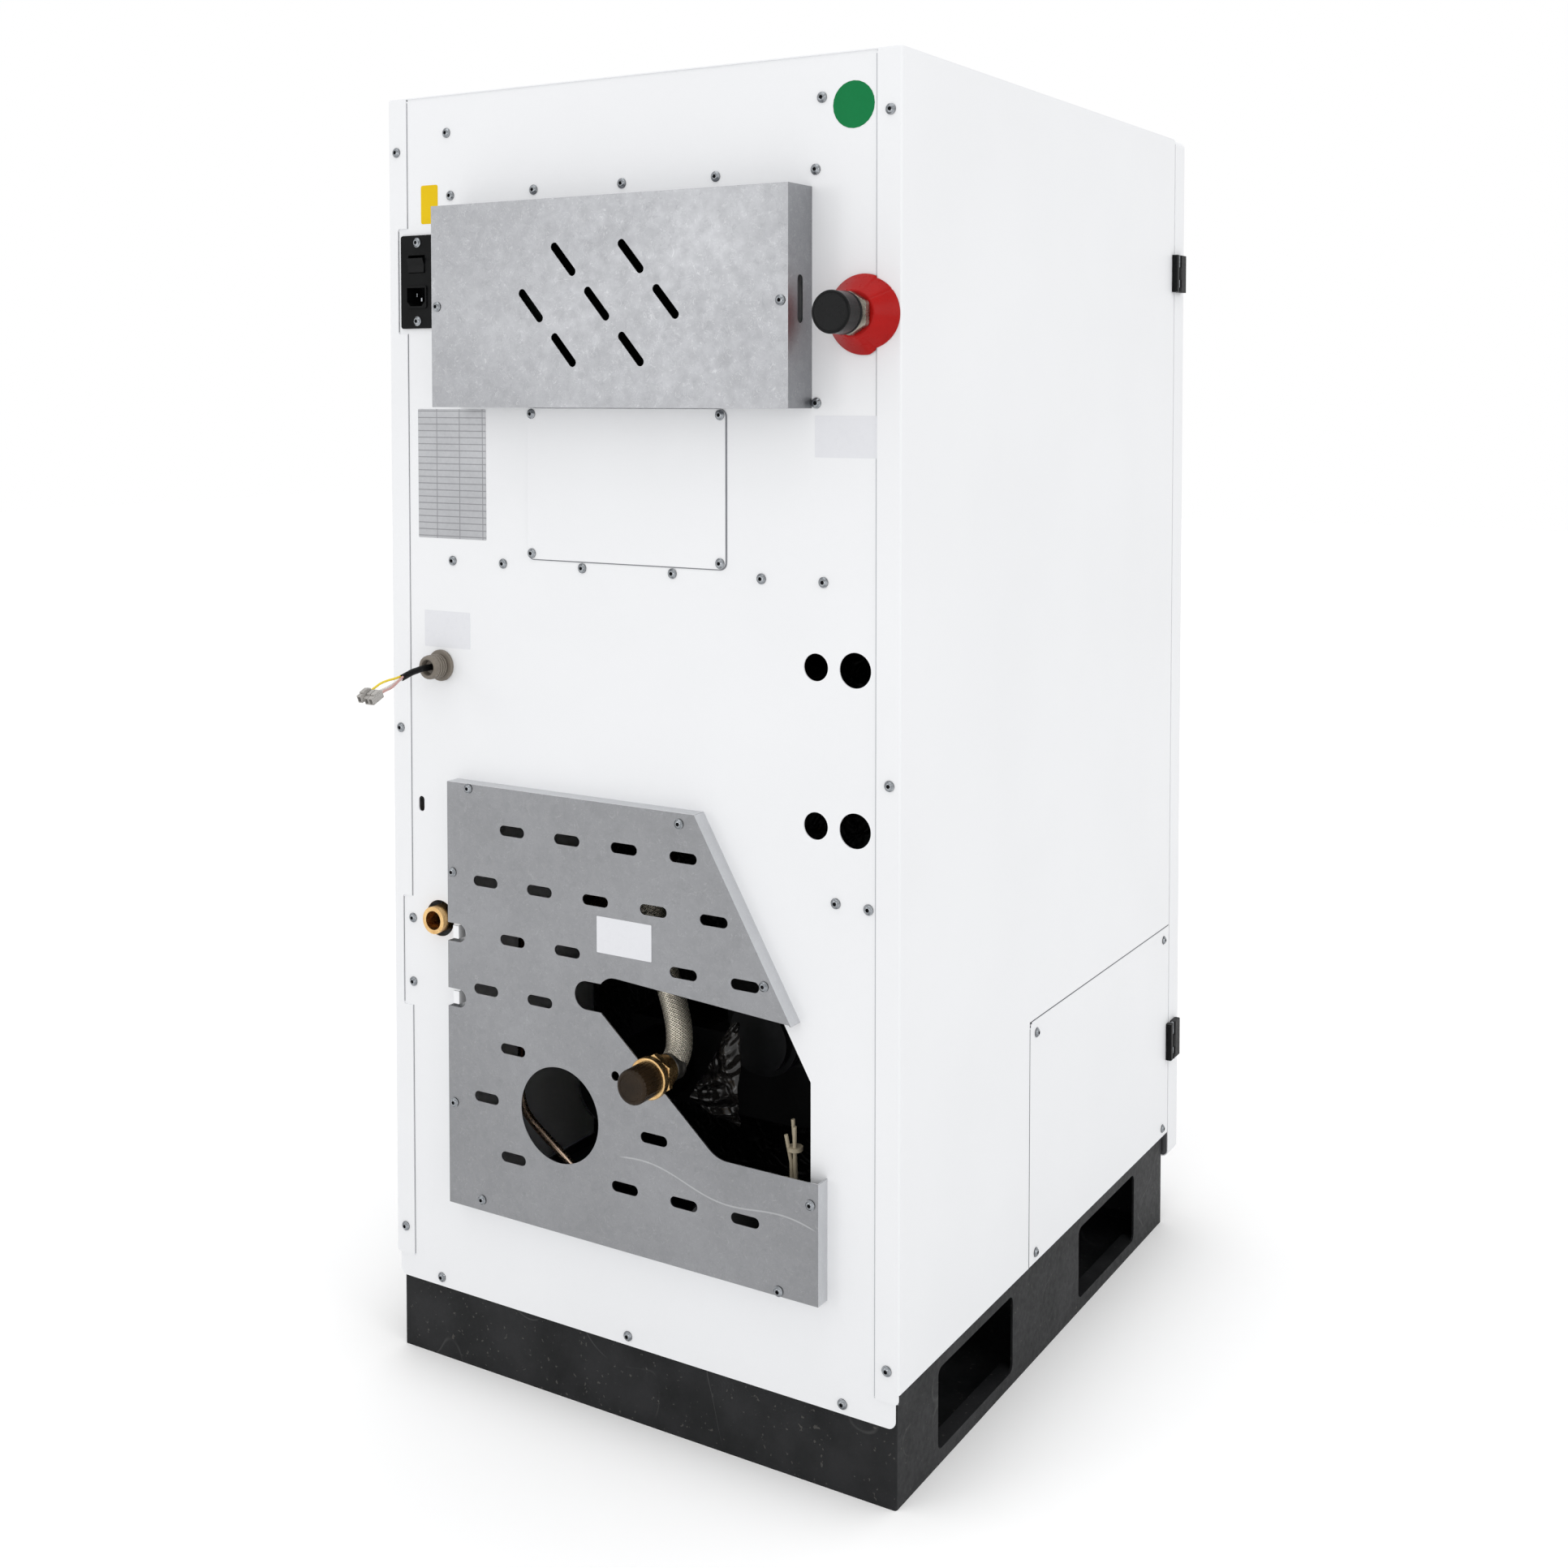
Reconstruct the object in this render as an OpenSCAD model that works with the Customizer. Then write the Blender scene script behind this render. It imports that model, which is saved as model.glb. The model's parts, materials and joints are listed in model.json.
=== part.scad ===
// Floor-standing pellet boiler, seen mostly from its rear: a folded sheet casing on a black
// plinth, two galvanised rear guards, water and flue connections, and the working parts inside.
// Millimetres. +Z is up, the door faces -Y, the rear with its connections faces +Y.
// The origin is under the middle of the whole boiler, on the floor.

/* [Casing] */
// Width over both side panels
body_w = 640; // [620:5:700]
// Depth of the side panels, rear face to door seam
body_d = 755; // [740:5:820]
// Height of the side panels' upper edge
body_h = 1400; // [1385:5:1460]
// Thickness of the casing sheet
sheet = 1.5; // [1:0.1:2]
// Outer radius of the folded edges
bend_r = 2.5; // [2.1:0.1:4]
// Width of the side panels' folded rear strips
strip_w = 26; // [24:1:30]
// Height of the lower ends of these strips
strip_foot = 108; // [100:1:114]
// Height of the rear panel's lower edge
rear_foot = 82; // [60:1:95]
// Width of the folds that turn inwards at the top, foot and front of the side panels
fold_w = 18; // [14:1:20]
// Gap at a visible seam between two panels
seam = 1.2; // [0.6:0.1:2]

/* [Plinth] */
// Height of the plinth, which carries the side panels
plinth_h = 118; // [112:1:125]
// How far the plinth stands back from the casing on each side
plinth_in = 6; // [4:0.5:10]
// Thickness of the plinth's sheet
plinth_t = 2.5; // [2:0.5:4]
// Width of a pallet truck pocket
pocket_w = 182; // [160:2:200]
// Height of a pocket
pocket_h = 84; // [76:1:88]
// Height of a pocket's lower edge
pocket_z = 15; // [10:1:18]
// Distance between the middles of the two pockets
pocket_pitch = 370; // [340:5:400]
// Depth of the lip folded in under each pocket
lip_w = 16; // [10:1:24]

/* [Door] */
// Thickness of the front door
door_t = 34; // [30:1:40]
// Height of the door's lower edge
door_foot = 84; // [70:1:100]
// Radius of the door's corners
door_r = 8; // [4:1:14]
// Gap between the door and the casing
door_gap = 0.8; // [0.5:0.1:1.5]
// Height of a door hinge
hinge_h = 47; // [40:1:56]
// How far a door hinge stands out from the side panel
hinge_out = 8; // [7:0.5:10]
// Height of the middle of the lower hinge
hinge_low = 239; // [200:5:300]
// Drop of the middle of the upper hinge below the casing's top
hinge_drop = 169; // [140:5:220]

/* [Hopper] */
// Width of the hopper's mouth
hopper_w = 480; // [440:5:500]
// Depth of the hopper's mouth, front to rear
hopper_d = 420; // [380:5:440]
// Side of the square outlet at the foot of the hopper
outlet_w = 110; // [100:2:120]
// Thickness of the hopper's galvanised sheet
hopper_t = 1.5; // [1:0.25:2]
// Height of the lid over the top panel
lid_h = 18; // [14:1:22]
// Distance from the rear face to the lid's hinge
lid_back = 186; // [170:2:200]

/* [Electronics cover] */
// Distance of the upper galvanised cover's edge from the casing's right edge, seen from the front
cover_far = 100; // [92:1:108]
// Height of this cover
cover_h = 213; // [205:1:220]
// How far it stands out from the rear panel
cover_out = 45; // [38:1:52]
// Distance of its edge from the casing's left edge, seen from the front
cover_side = 98; // [92:1:104]
// Drop of its upper edge below the casing's top
cover_drop = 124; // [120:1:130]
// Length of a slanted vent slot
vent_l = 43; // [36:1:48]
// Width of a vent slot
vent_w = 9; // [6:0.5:11]
// Width of the upright slot in the cover's side wall
side_vent_w = 10; // [6:0.5:12]
// Slope of the vent slots
vent_turn = 49; // [30:1:60]
// Sideways distance between vent slots
vent_pitch = 84; // [76:1:90]
// Distance between rows of vent slots
vent_row = 46; // [40:1:50]

/* [Flue guard] */
// Width of the lower galvanised cover
guard_w = 467; // [460:1:475]
// Height of this cover
guard_h = 465; // [458:1:475]
// Height of its lower edge over the floor
guard_foot = 191; // [186:1:200]
// How far it stands out from the rear panel
guard_out = 18; // [14:1:24]
// Distance of its edge from the casing's left edge, seen from the front
guard_side = 80; // [74:1:84]
// Width cut off its upper corner by the slope
guard_slope_w = 144; // [130:2:150]
// Height cut off its upper corner by the slope
guard_slope_h = 248; // [230:2:260]
// How far the hole behind it in the rear panel stays inside its outline
guard_rim = 19; // [15:1:22]
// Diameter of the hole for the flue pipe
flue_hole = 102; // [98:1:110]
// Height of the middle of the flue hole
flue_z = 317; // [312:1:322]
// Distance of the flue's middle from the casing's left edge, seen from the front
flue_side = 395; // [390:1:400]
// Length of a vent slot
slot_l = 33; // [26:1:36]
// Width of a vent slot
slot_w = 11; // [8:0.5:13]
// Sideways distance between vent slots
slot_pitch = 73.3; // [70:0.1:75]
// Distance between rows of vent slots
slot_row = 58.9; // [56:0.1:60]

/* [Connections] */
// Diameter of the flow and return pipes
pipe_d = 27; // [22:1:30]
// Distance of the flow pipe from the casing's left edge, seen from the front
flow_side = 40; // [38:1:44]
// Drop of the flow pipe below the casing's top
flow_drop = 248; // [240:1:256]
// Diameter of the flow rosette
rosette_d = 77; // [68:1:80]
// Diameter of the cap on the flow pipe
flow_cap_d = 41; // [36:1:44]
// How far the flow cap's face stands out from the rear
flow_out = 66; // [62:1:80]
// Diameter of the larger pair of pipe holes
hole_big = 34.5; // [32:0.5:37]
// Diameter of the smaller pair of pipe holes
hole_small = 27; // [24:0.5:29]
// Distance between a large and a small pipe hole
hole_pitch = 43.5; // [41:0.5:46]
// Distance of the large pipe holes from the casing's left edge, seen from the front
hole_side = 50; // [48:0.5:53]
// Height of the lower pair of pipe holes
hole_low_z = 657; // [640:1:680]
// Height of the upper pair
hole_high_z = 812; // [790:1:830]
// Diameter of the flue stub
stub_d = 80; // [76:1:84]
// How far the flue stub ends behind the rear face
stub_back = 70; // [60:1:80]
// Diameter of the drain port's hole in the rear panel
drain_hole = 40; // [36:1:42]
// Height of the drain port
drain_z = 497; // [490:1:505]
// Distance of the drain port from the casing's right edge, seen from the front
drain_side = 66; // [62:1:70]

/* [Power inlet] */
// Width of the inlet's plate
inlet_w = 46; // [44:1:50]
// Height of the inlet's plate
inlet_h = 102; // [96:1:108]
// Distance of the inlet's middle from the casing's right edge, seen from the front
inlet_side = 41; // [39:1:44]
// Drop of the inlet's middle below the casing's top
inlet_drop = 200; // [190:1:210]
// Width of the rocker
rocker_w = 25; // [20:1:27]
// Height of the rocker
rocker_h = 20.5; // [16:0.5:24]
// Width of the socket's recess
socket_w = 26; // [24:0.5:28]
// Height of the socket's recess
socket_h = 20; // [18:0.5:22]

/* [Boiler body] */
// Width of the welded water jacket
tank_w = 420; // [400:5:430]
// Depth of the water jacket
tank_d = 370; // [350:5:380]
// Height of the water jacket
tank_h = 660; // [640:5:680]
// Thickness of its plates
plate_t = 5; // [4:0.5:6]
// Thickness of the insulation round it
lag_t = 24; // [18:1:28]
// Diameter of the feed auger
auger_d = 60; // [54:1:64]
// Lead of the auger's flight
auger_lead = 50; // [40:2:60]
// Radius of the flue fan's impeller
fan_r = 74; // [68:1:76]

/* [Hidden] */

$fn = 48;
e = 0.01;                                   // overlap that makes cuts clean
running = 0.05;                             // radial play of a pin in its hole
nut_ease = 2.4;                             // how much a nut's chamfer takes off its corners
clear = 0.3;                                // gap between neighbours that must not touch
half_w = body_w / 2;
rear_y = 0;                                 // the casing's rear face, before the model is centred
front_y = -body_d;                          // the seam between the casing and the door
door_y = front_y - door_gap - door_t;       // outer face of the door
bezel_out = 2;                              // how far the display stands out from the door
// The model is built with its rear face at y = 0 and is then moved so that it stands centred.
seat_x = hinge_out / 2;
seat_y = -(door_y - bezel_out + flow_out) / 2;
panel_y = rear_y - sheet;                   // outer face of the rear panel, under the side strips

// Place measured from the casing's left edge or right edge, as the user sees it from the front.
function from_left(d) = d - half_w;
function from_right(d) = half_w - d;
function under_top(d) = body_h - d;

module seat() translate([seat_x, seat_y, 0]) children();

// Flat outlines
module round_rect(w, h, r) {
  translate([-w / 2 + r, -h / 2]) square([w - 2 * r, h]);
  translate([-w / 2, -h / 2 + r]) square([w, h - 2 * r]);
  for (sx = [-1, 1]) for (sy = [-1, 1]) translate([sx * (w / 2 - r), sy * (h / 2 - r)]) circle(r);
}
module slot(l, w) {
  square([l - w, w], center = true);
  for (s = [-1, 1]) translate([s * (l - w) / 2, 0]) circle(w / 2);
}
function unit(v) = v / norm(v);
// Points of a round corner at b, between its neighbours a and c
function round_corner(a, b, c, r, n = 8) =
  let (u = unit(a - b), v = unit(c - b), half = acos(u * v) / 2, m = b + unit(u + v) * r / sin(half),
       p = b + u * r / tan(half) - m, q = b + v * r / tan(half) - m,
       from = atan2(p[1], p[0]), turn = (atan2(q[1], q[0]) - from + 540) % 360 - 180)
  [for (i = [0:n]) m + r * [cos(from + turn * i / n), sin(from + turn * i / n)]];
function rounded(p, r) = [for (i = [0:len(p) - 1])
  each round_corner(p[(i + len(p) - 1) % len(p)], p[i], p[(i + 1) % len(p)], r[i])];
// A flat outline drawn as seen from the rear's inside (x, z), standing up from y = y0 towards +y.
module stand(y0, t) translate([0, y0 + t, 0]) rotate([90, 0, 0]) linear_extrude(t) children();
// A flat outline (y, z) standing up from x = x0 towards +x.
module stand_side(x0, t) translate([x0, 0, 0]) rotate([90, 0, 90]) linear_extrude(t) children();
// A round bar from a point along +y.
module bar_y(x, y, z, r, l) translate([x, y, z]) rotate([-90, 0, 0]) cylinder(r = r, h = l);
module bar_x(x, y, z, r, l) translate([x, y, z]) rotate([0, 90, 0]) cylinder(r = r, h = l);
// A nut's body, with a round chamfer at both ends
module hex_nut(r, l) intersection() {
  cylinder(r = r, h = l, $fn = 6);
  rotate_extrude() polygon([[0, 0], [r - nut_ease, 0], [r, nut_ease / 2], [r, l - nut_ease / 2],
                            [r - nut_ease, l], [0, l]]);
}
module tube_y(x, y, z, r, l, wall) difference() {
  bar_y(x, y, z, r, l);
  bar_y(x, y - 1, z, r - wall, l + 2);
}

// Plinth: a box of folded black sheet with two pallet pockets through it.
plinth_w = body_w - 2 * plinth_in;
plinth_d = body_d - 2 * plinth_in;
pocket_mid = -body_d / 2 + 5;
pocket_y = [pocket_mid + pocket_pitch / 2, pocket_mid - pocket_pitch / 2];
plinth_fold = 34;
foot_fold = 22;
pocket_r = 8;

module plinth_ring(h, wall) translate([0, -body_d / 2, 0]) linear_extrude(h) difference() {
  round_rect(plinth_w, plinth_d, 3);
  square([plinth_w - 2 * wall, plinth_d - 2 * wall], center = true);
}
module plinth() color("#1d1e20") seat() {
  difference() {
    plinth_ring(plinth_h, plinth_t);
    for (y = pocket_y) for (s = [-1, 1])
      stand_side(s * (plinth_w - plinth_t) / 2 - plinth_t, 2 * plinth_t)
        translate([y, pocket_z + pocket_h / 2]) round_rect(pocket_w, pocket_h, pocket_r);
  }
  plinth_ring(plinth_t, foot_fold);
  translate([0, 0, plinth_h - plinth_t]) plinth_ring(plinth_t, plinth_fold);
  for (y = pocket_y) for (s = [-1, 1])
    translate([s * (plinth_w / 2 - plinth_t - lip_w / 2) - lip_w / 2, y - pocket_w / 2 - 8,
               pocket_z - plinth_t])
      cube([lip_w, pocket_w + 16, plinth_t]);
}

// Floor pan and frame, which carry everything inside the casing.
pan_t = 2;
pan_x = half_w - sheet - fold_w - 4;
pan_top = plinth_h + pan_t;
module floor_pan() color("#a9adb1") seat() difference() {
  union() {
    translate([-pan_x, front_y + 7, plinth_h]) cube([2 * pan_x, body_d - 14, pan_t]);
    for (s = [-1, 1]) translate([s * (pan_x - pan_t / 2) - pan_t / 2, front_y + 32, plinth_h])
      cube([pan_t, body_d - 64, 14]);
  }
  translate([0, -250, plinth_h - 1]) linear_extrude(pan_t + 2) slot(160, 60);
}
post_w = 24;
post_t = 2;
post_x = half_w - sheet - clear;
post_top = body_h - sheet - clear;
module post() difference() {
  cube([post_w, post_w, post_top - plinth_h - sheet - clear]);
  translate([post_t, post_t, -1]) cube([post_w, post_w, body_h]);
}
post_foot = plinth_h + sheet + clear;
post_rear = panel_y - sheet - clear;
post_front = front_y + sheet + clear;
module frame_posts() color("#9fa3a8") seat() {
  translate([-post_x, post_rear, post_foot]) mirror([0, 1, 0]) post();
  translate([post_x, post_rear, post_foot]) rotate([0, 0, 180]) post();
  translate([-post_x, post_front, post_foot]) post();
  translate([post_x, post_front, post_foot]) mirror([1, 0, 0]) post();
}
// Rails between the posts, screwed on their inner faces under the top folds.
rail_h = 30;
rail_z = post_top - rail_h;
module frame_rails() color("#9fa3a8") seat() {
  for (s = [-1, 1]) translate([s * (post_x - post_t - post_t / 2) - post_t / 2,
                              post_front + post_t, rail_z - 60])
    cube([post_t, post_rear - post_front - 2 * post_t, rail_h]);
  translate([-post_x + post_w, post_rear - post_t, under_top(100)])
    cube([2 * (post_x - post_w), post_t, 40]);
  translate([post_x - 2 * post_t, post_front + post_t, vessel_z - rail_h / 2])
    cube([post_t, post_rear - post_front - 2 * post_t, rail_h]);
}

// Side panels: one folded section each, with a strip round the rear edge.
jog_w = 13;                                  // width of the strip where it is cut back
jog_low = [393, 517];
jog_top_drop = [257, 141];                   // lower and upper end of the cut round the inlet
module side_section() difference() {
  translate([0, front_y / 2]) round_rect(2 * half_w, body_d, bend_r);
  translate([0, front_y / 2]) round_rect(2 * (half_w - sheet), body_d - 2 * sheet, bend_r - sheet);
  translate([-half_w + strip_w, -30]) square([body_w, 60]);
  translate([-half_w + fold_w, front_y - 30]) square([body_w, 60]);
  translate([0, front_y - 30]) square([body_w, body_d + 60]);
}
module side_panel_base() {
  translate([0, 0, plinth_h]) linear_extrude(body_h - plinth_h) side_section();
  stand(panel_y, sheet) difference() {
    translate([-half_w + 1, strip_foot]) square([strip_w - 1, plinth_h - strip_foot + 1]);
    translate([-half_w, strip_foot - 1]) square([5, 5]);
  }
  stand(panel_y, sheet) translate([-half_w + 5, strip_foot + 4]) circle(4);
  for (z = [plinth_h, body_h - sheet])
    translate([-half_w + sheet / 2, front_y + sheet / 2, z])
      cube([fold_w, body_d - 2.5 * sheet - clear, sheet]);
}
module strip_notch(z0, z1) stand(panel_y - e, sheet + 2 * e)
  translate([-half_w + jog_w + 20, (z0 + z1) / 2]) round_rect(40, z1 - z0, 3);
// Access panel that fills the lower front corner of the left side.
access_l = 447;
access_h = 272;
access_y = front_y + access_l;
access_z = plinth_h + access_h;
module side_panel_left() color("#eef0f3") seat() {
  difference() {
    side_panel_base();
    translate([-half_w - 1, front_y - 1, plinth_h - 1]) cube([fold_w + 4, access_l + seam + 1,
                                                             access_h + seam + 1]);
  }
  // tongues behind the seam take the access panel's screws
  translate([-half_w + sheet, access_y - 22, plinth_h + 20]) cube([sheet, 40, access_h - 30]);
  translate([-half_w + sheet, front_y + 30, access_z - 20]) cube([sheet, access_l - 60, 40]);
}
module access_panel() color("#eef0f3") seat() {
  stand_side(-half_w, sheet) difference() {
    translate([front_y + bend_r, plinth_h]) square([access_l - bend_r, access_h]);
    difference() {
      translate([access_y - 8, access_z - 8]) square(9);
      translate([access_y - 8, access_z - 8]) circle(8);
    }
  }
  translate([0, 0, plinth_h]) linear_extrude(access_h) intersection() {
    side_section();
    translate([-half_w - 1, front_y - 1]) square([fold_w + 2, bend_r + 3]);
  }
  translate([-half_w + sheet / 2, front_y + 4, plinth_h]) cube([fold_w, access_l - 8, sheet]);
}
module side_panel_right() color("#eef0f3") seat() mirror([1, 0, 0]) difference() {
  side_panel_base();
  strip_notch(jog_low[0], jog_low[1]);
  strip_notch(under_top(jog_top_drop[0]), under_top(jog_top_drop[1]));
}

// Places on the rear face
pipe_r = pipe_d / 2;
pipe_wall = 2;
cover_w = body_w - cover_side - cover_far;
cover_x = from_left(cover_side) + cover_w / 2;
cover_z = under_top(cover_drop) - cover_h / 2;
guard_x = from_left(guard_side);             // edge under the slope
flue_x = from_left(flue_side);
flow_x = from_left(flow_side);
flow_z = under_top(flow_drop);
drain_x = from_right(drain_side);
inlet_x = from_right(inlet_side);
inlet_z = under_top(inlet_drop);
rocker_z = inlet_z + 19.5;
socket_z = inlet_z - 16.5;
gland_x = from_right(71);
gland_z = 779;
plate_w = 250;
plate_h = 160;
plate_x = from_left(322);
plate_z = under_top(498) + plate_h / 2;
hatch_w = 130;
hatch_h = 110;

// Outline of the flue guard, d inside its edge.
slope_k = guard_slope_w / guard_slope_h;
slope_in = sqrt(1 + slope_k * slope_k);
module guard_outline(d) polygon([
  [guard_x + d, guard_foot + d],
  [guard_x + guard_w - d, guard_foot + d],
  [guard_x + guard_w - d, guard_foot + guard_h - d],
  [guard_x + guard_slope_w + d * (slope_in - slope_k), guard_foot + guard_h - d],
  [guard_x + d, guard_foot + guard_h - guard_slope_h - d * (slope_in - 1) / slope_k]]);
notch_z = [491, 419];
notch_h = 20;
notch_l = 25;
guard_edge = guard_x + guard_w;

module rear_holes() {
  guard_outline(guard_rim);
  translate([plate_x, plate_z]) round_rect(hatch_w, hatch_h, 6);
  translate([flow_x, flow_z]) circle(pipe_d / 2 + 3);
  for (z = [hole_low_z, hole_high_z]) {
    translate([from_left(hole_side), z]) circle(hole_big / 2);
    translate([from_left(hole_side + hole_pitch), z]) circle(hole_small / 2);
  }
  translate([drain_x, drain_z]) circle(drain_hole / 2);
  translate([gland_x, gland_z]) circle(gland_thread / 2 + running);
  translate([from_right(40.3), 622]) rotate(90) slot(17, 8);
  translate([inlet_x, rocker_z]) square([rocker_w + 1, rocker_h + 3], center = true);
  translate([inlet_x, socket_z]) square([socket_w + 3, socket_h + 3], center = true);
  translate([cover_x - 120, cover_z - 40]) circle(18);
}
module rear_panel() color("#e9ebee") seat() {
  stand(panel_y - sheet, sheet) difference() {
    union() {
      translate([-half_w + 13, rear_foot]) square([body_w - 26, 12]);
      translate([-half_w + plinth_in - 1, rear_foot + 8])
        square([body_w - 2 * plinth_in + 2, body_h - sheet - rear_foot - 8 - clear]);
      for (s = [-1, 1]) translate([s * (half_w - plinth_in - 7), rear_foot + 8]) circle(8);
    }
    rear_holes();
  }
  // bent hooks that stand in the guard's notches
  for (z = notch_z) {
    translate([guard_edge - 14, panel_y - sheet, z - 7]) cube([sheet, guard_out, 14]);
    translate([guard_edge - 14, panel_y + guard_out - 2 * sheet, z - 7]) cube([8, sheet, 14]);
  }
}

// Top panel with the hopper's mouth, and its lid.
lid_w = hopper_w + 36;
lid_d = hopper_d + 30;
mouth_y = rear_y - lid_back - 14 - hopper_d / 2;
top_z = body_h + sheet;
module top_panel() color("#eef0f3") seat() {
  translate([0, 0, body_h]) linear_extrude(sheet) difference() {
    translate([0, front_y / 2]) round_rect(body_w - 1, body_d - 1, 4);
    translate([0, mouth_y]) square([hopper_w, hopper_d], center = true);
  }
  translate([0, mouth_y, body_h]) linear_extrude(8) difference() {
    square([hopper_w + 2 * sheet, hopper_d + 2 * sheet], center = true);
    square([hopper_w, hopper_d], center = true);
  }
}
lid_y = rear_y - lid_back - lid_d / 2;
lid_z = top_z + 0.5;
module hopper_lid() color("#eef0f3") seat() difference() {
  translate([0, lid_y, lid_z]) {
    linear_extrude(lid_h - 3) round_rect(lid_w, lid_d, 12);
    translate([0, 0, lid_h - 3 - e]) linear_extrude(3) round_rect(lid_w - 6, lid_d - 6, 9);
    // lip to lift the lid by
    translate([0, -lid_d / 2 - 8, 3]) linear_extrude(3) round_rect(160, 28, 5);
  }
  translate([0, lid_y, lid_z - 1]) linear_extrude(lid_h - 3.5) round_rect(lid_w - 3, lid_d - 3, 10);
}
lid_pin_r = 2;
lid_knuckle_r = 4.5;
lid_axis_y = rear_y - lid_back + lid_knuckle_r + 1.5;
lid_axis_z = top_z + lid_knuckle_r + 0.5;
lid_hinge_x = [-150, 150];
module lid_hinge_leaves() color("#1f2022") seat() for (x = lid_hinge_x) {
  difference() {
    union() {
      translate([x - 30, lid_axis_y + lid_knuckle_r - 2, top_z]) cube([60, 26, 2]);
      for (k = [-30, 12]) translate([x + k, lid_axis_y, top_z]) cube([18, 10, 3]);
      for (k = [-30, 12]) bar_x(x + k, lid_axis_y, lid_axis_z, lid_knuckle_r, 18);
    }
    bar_x(x - 31, lid_axis_y, lid_axis_z, lid_pin_r + running, 62);
    // room for the strap's middle knuckle
    translate([x - 12, lid_axis_y - 7, top_z - 1]) cube([24, 7 + lid_knuckle_r + 0.5, 12]);
  }
}
module lid_hinge_straps() color("#1f2022") seat() for (x = lid_hinge_x) difference() {
  union() {
    bar_x(x - 11.5, lid_axis_y, lid_axis_z, lid_knuckle_r, 23);
    translate([x - 11.5, lid_y + lid_d / 2, lid_axis_z - 1])
      cube([23, lid_axis_y - lid_y - lid_d / 2, lid_knuckle_r + 1]);
    translate([x - 11.5, lid_y + lid_d / 2, lid_z + 3]) cube([23, 1.5, lid_h - 1]);
    translate([x - 11.5, lid_y + lid_d / 2 - 40, lid_z + lid_h]) cube([23, 41.5, 2]);
  }
  bar_x(x - 12.5, lid_axis_y, lid_axis_z, lid_pin_r + running, 25);
}
module lid_hinge_pins() color("#b9bcc0") seat() for (x = lid_hinge_x)
  bar_x(x - 30, lid_axis_y, lid_axis_z, lid_pin_r, 60);

// Front door: a folded skin, an inner pan and the display.
door_top = body_h + sheet;
door_h = door_top - door_foot;
door_mid = door_foot + door_h / 2;
screen_w = 150;
screen_h = 96;
screen_z = under_top(190);
grip_l = 320;
grip_z = 860;
grip_x = half_w - 34;
module front_door() color("#eef0f3") seat() difference() {
  stand(door_y, door_t) translate([0, door_mid]) round_rect(body_w, door_h, door_r);
  stand(door_y + sheet, door_t) translate([0, door_mid])
    round_rect(body_w - 2 * sheet, door_h - 2 * sheet, door_r - sheet);
  stand(door_y - 1, sheet + 2) translate([0, screen_z]) square([screen_w, screen_h], center = true);
  stand(door_y - 1, sheet + 2) translate([grip_x, grip_z]) rotate(90) slot(grip_l, 30);
}
module door_inner_pan() color("#c9ccd0") seat() {
  stand(front_y - door_gap - sheet, sheet) translate([0, door_mid])
    round_rect(body_w - 2 * sheet - 1, door_h - 2 * sheet - 1, door_r - sheet);
  stand(door_y + sheet, door_t - 2 * sheet) translate([-40, door_mid]) difference() {
    square([450, door_h - 260], center = true);
    square([450 - 2 * sheet, door_h - 260 - 2 * sheet], center = true);
  }
}
module door_grip() color("#3a3c40") seat() difference() {
  union() {
    stand(door_y - 1, 1) translate([grip_x, grip_z]) rotate(90) slot(grip_l + 8, 38);
    stand(door_y, 21) translate([grip_x, grip_z]) rotate(90) slot(grip_l - 1, 29);
  }
  stand(door_y - 2, 21) translate([grip_x, grip_z]) rotate(90) slot(grip_l - 5, 25);
}
module display_bezel() color("#17181a") seat() difference() {
  union() {
    stand(door_y - bezel_out, bezel_out) translate([0, screen_z])
      round_rect(screen_w + 16, screen_h + 16, 6);
    stand(door_y, 16) translate([0, screen_z]) square([screen_w - 1, screen_h - 1], center = true);
  }
  stand(door_y - 3, 5) translate([0, screen_z]) square([screen_w - 20, screen_h - 22], center = true);
}
module display_glass() color("#0c1014") seat()
  stand(door_y - 0.7, 2.7) translate([0, screen_z])
    square([screen_w - 20.6, screen_h - 22.6], center = true);

// Door hinges: a bar on the side panel, a bar on the door, and a pin between them that shows
// above and below the door bar's knuckle.
axis_x = -half_w - hinge_out / 2 - 0.5;
axis_y = front_y - 1.5;
pin_r = 2;
knuckle_r = hinge_out / 2 - 0.5;
bar_out = hinge_out - 0.5;
bar_gap = 2.8;                               // from the pin's axis to each bar
bar_r = 2.4;                                 // rounding that lets the bars pass when the door is open
side_bar_w = 9.6;
door_bar_w = 20;
foot_knuckle_h = 6;
mid_knuckle_h = 16;
hinge_z = [hinge_low, under_top(hinge_drop)];
module hinge_bar(y0, y1, z) translate([-half_w - bar_out / 2, (y0 + y1) / 2, z - hinge_h / 2])
  linear_extrude(hinge_h) round_rect(bar_out, y1 - y0, bar_r);
module knuckle_z(z, h, r) translate([axis_x, axis_y, z]) cylinder(r = r, h = h);
module hinge_side_leaves() color("#17181a") seat() for (z = hinge_z) difference() {
  union() {
    difference() {
      hinge_bar(axis_y + bar_gap, axis_y + bar_gap + side_bar_w, z);
      knuckle_z(z - mid_knuckle_h / 2 - clear, mid_knuckle_h + 2 * clear, knuckle_r + clear);
    }
    knuckle_z(z - hinge_h / 2, foot_knuckle_h, knuckle_r);
    translate([axis_x - 1.6, axis_y, z - hinge_h / 2]) cube([3.2, bar_gap + 2, foot_knuckle_h]);
  }
  knuckle_z(z - hinge_h, 2 * hinge_h, pin_r + running);
}
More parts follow.
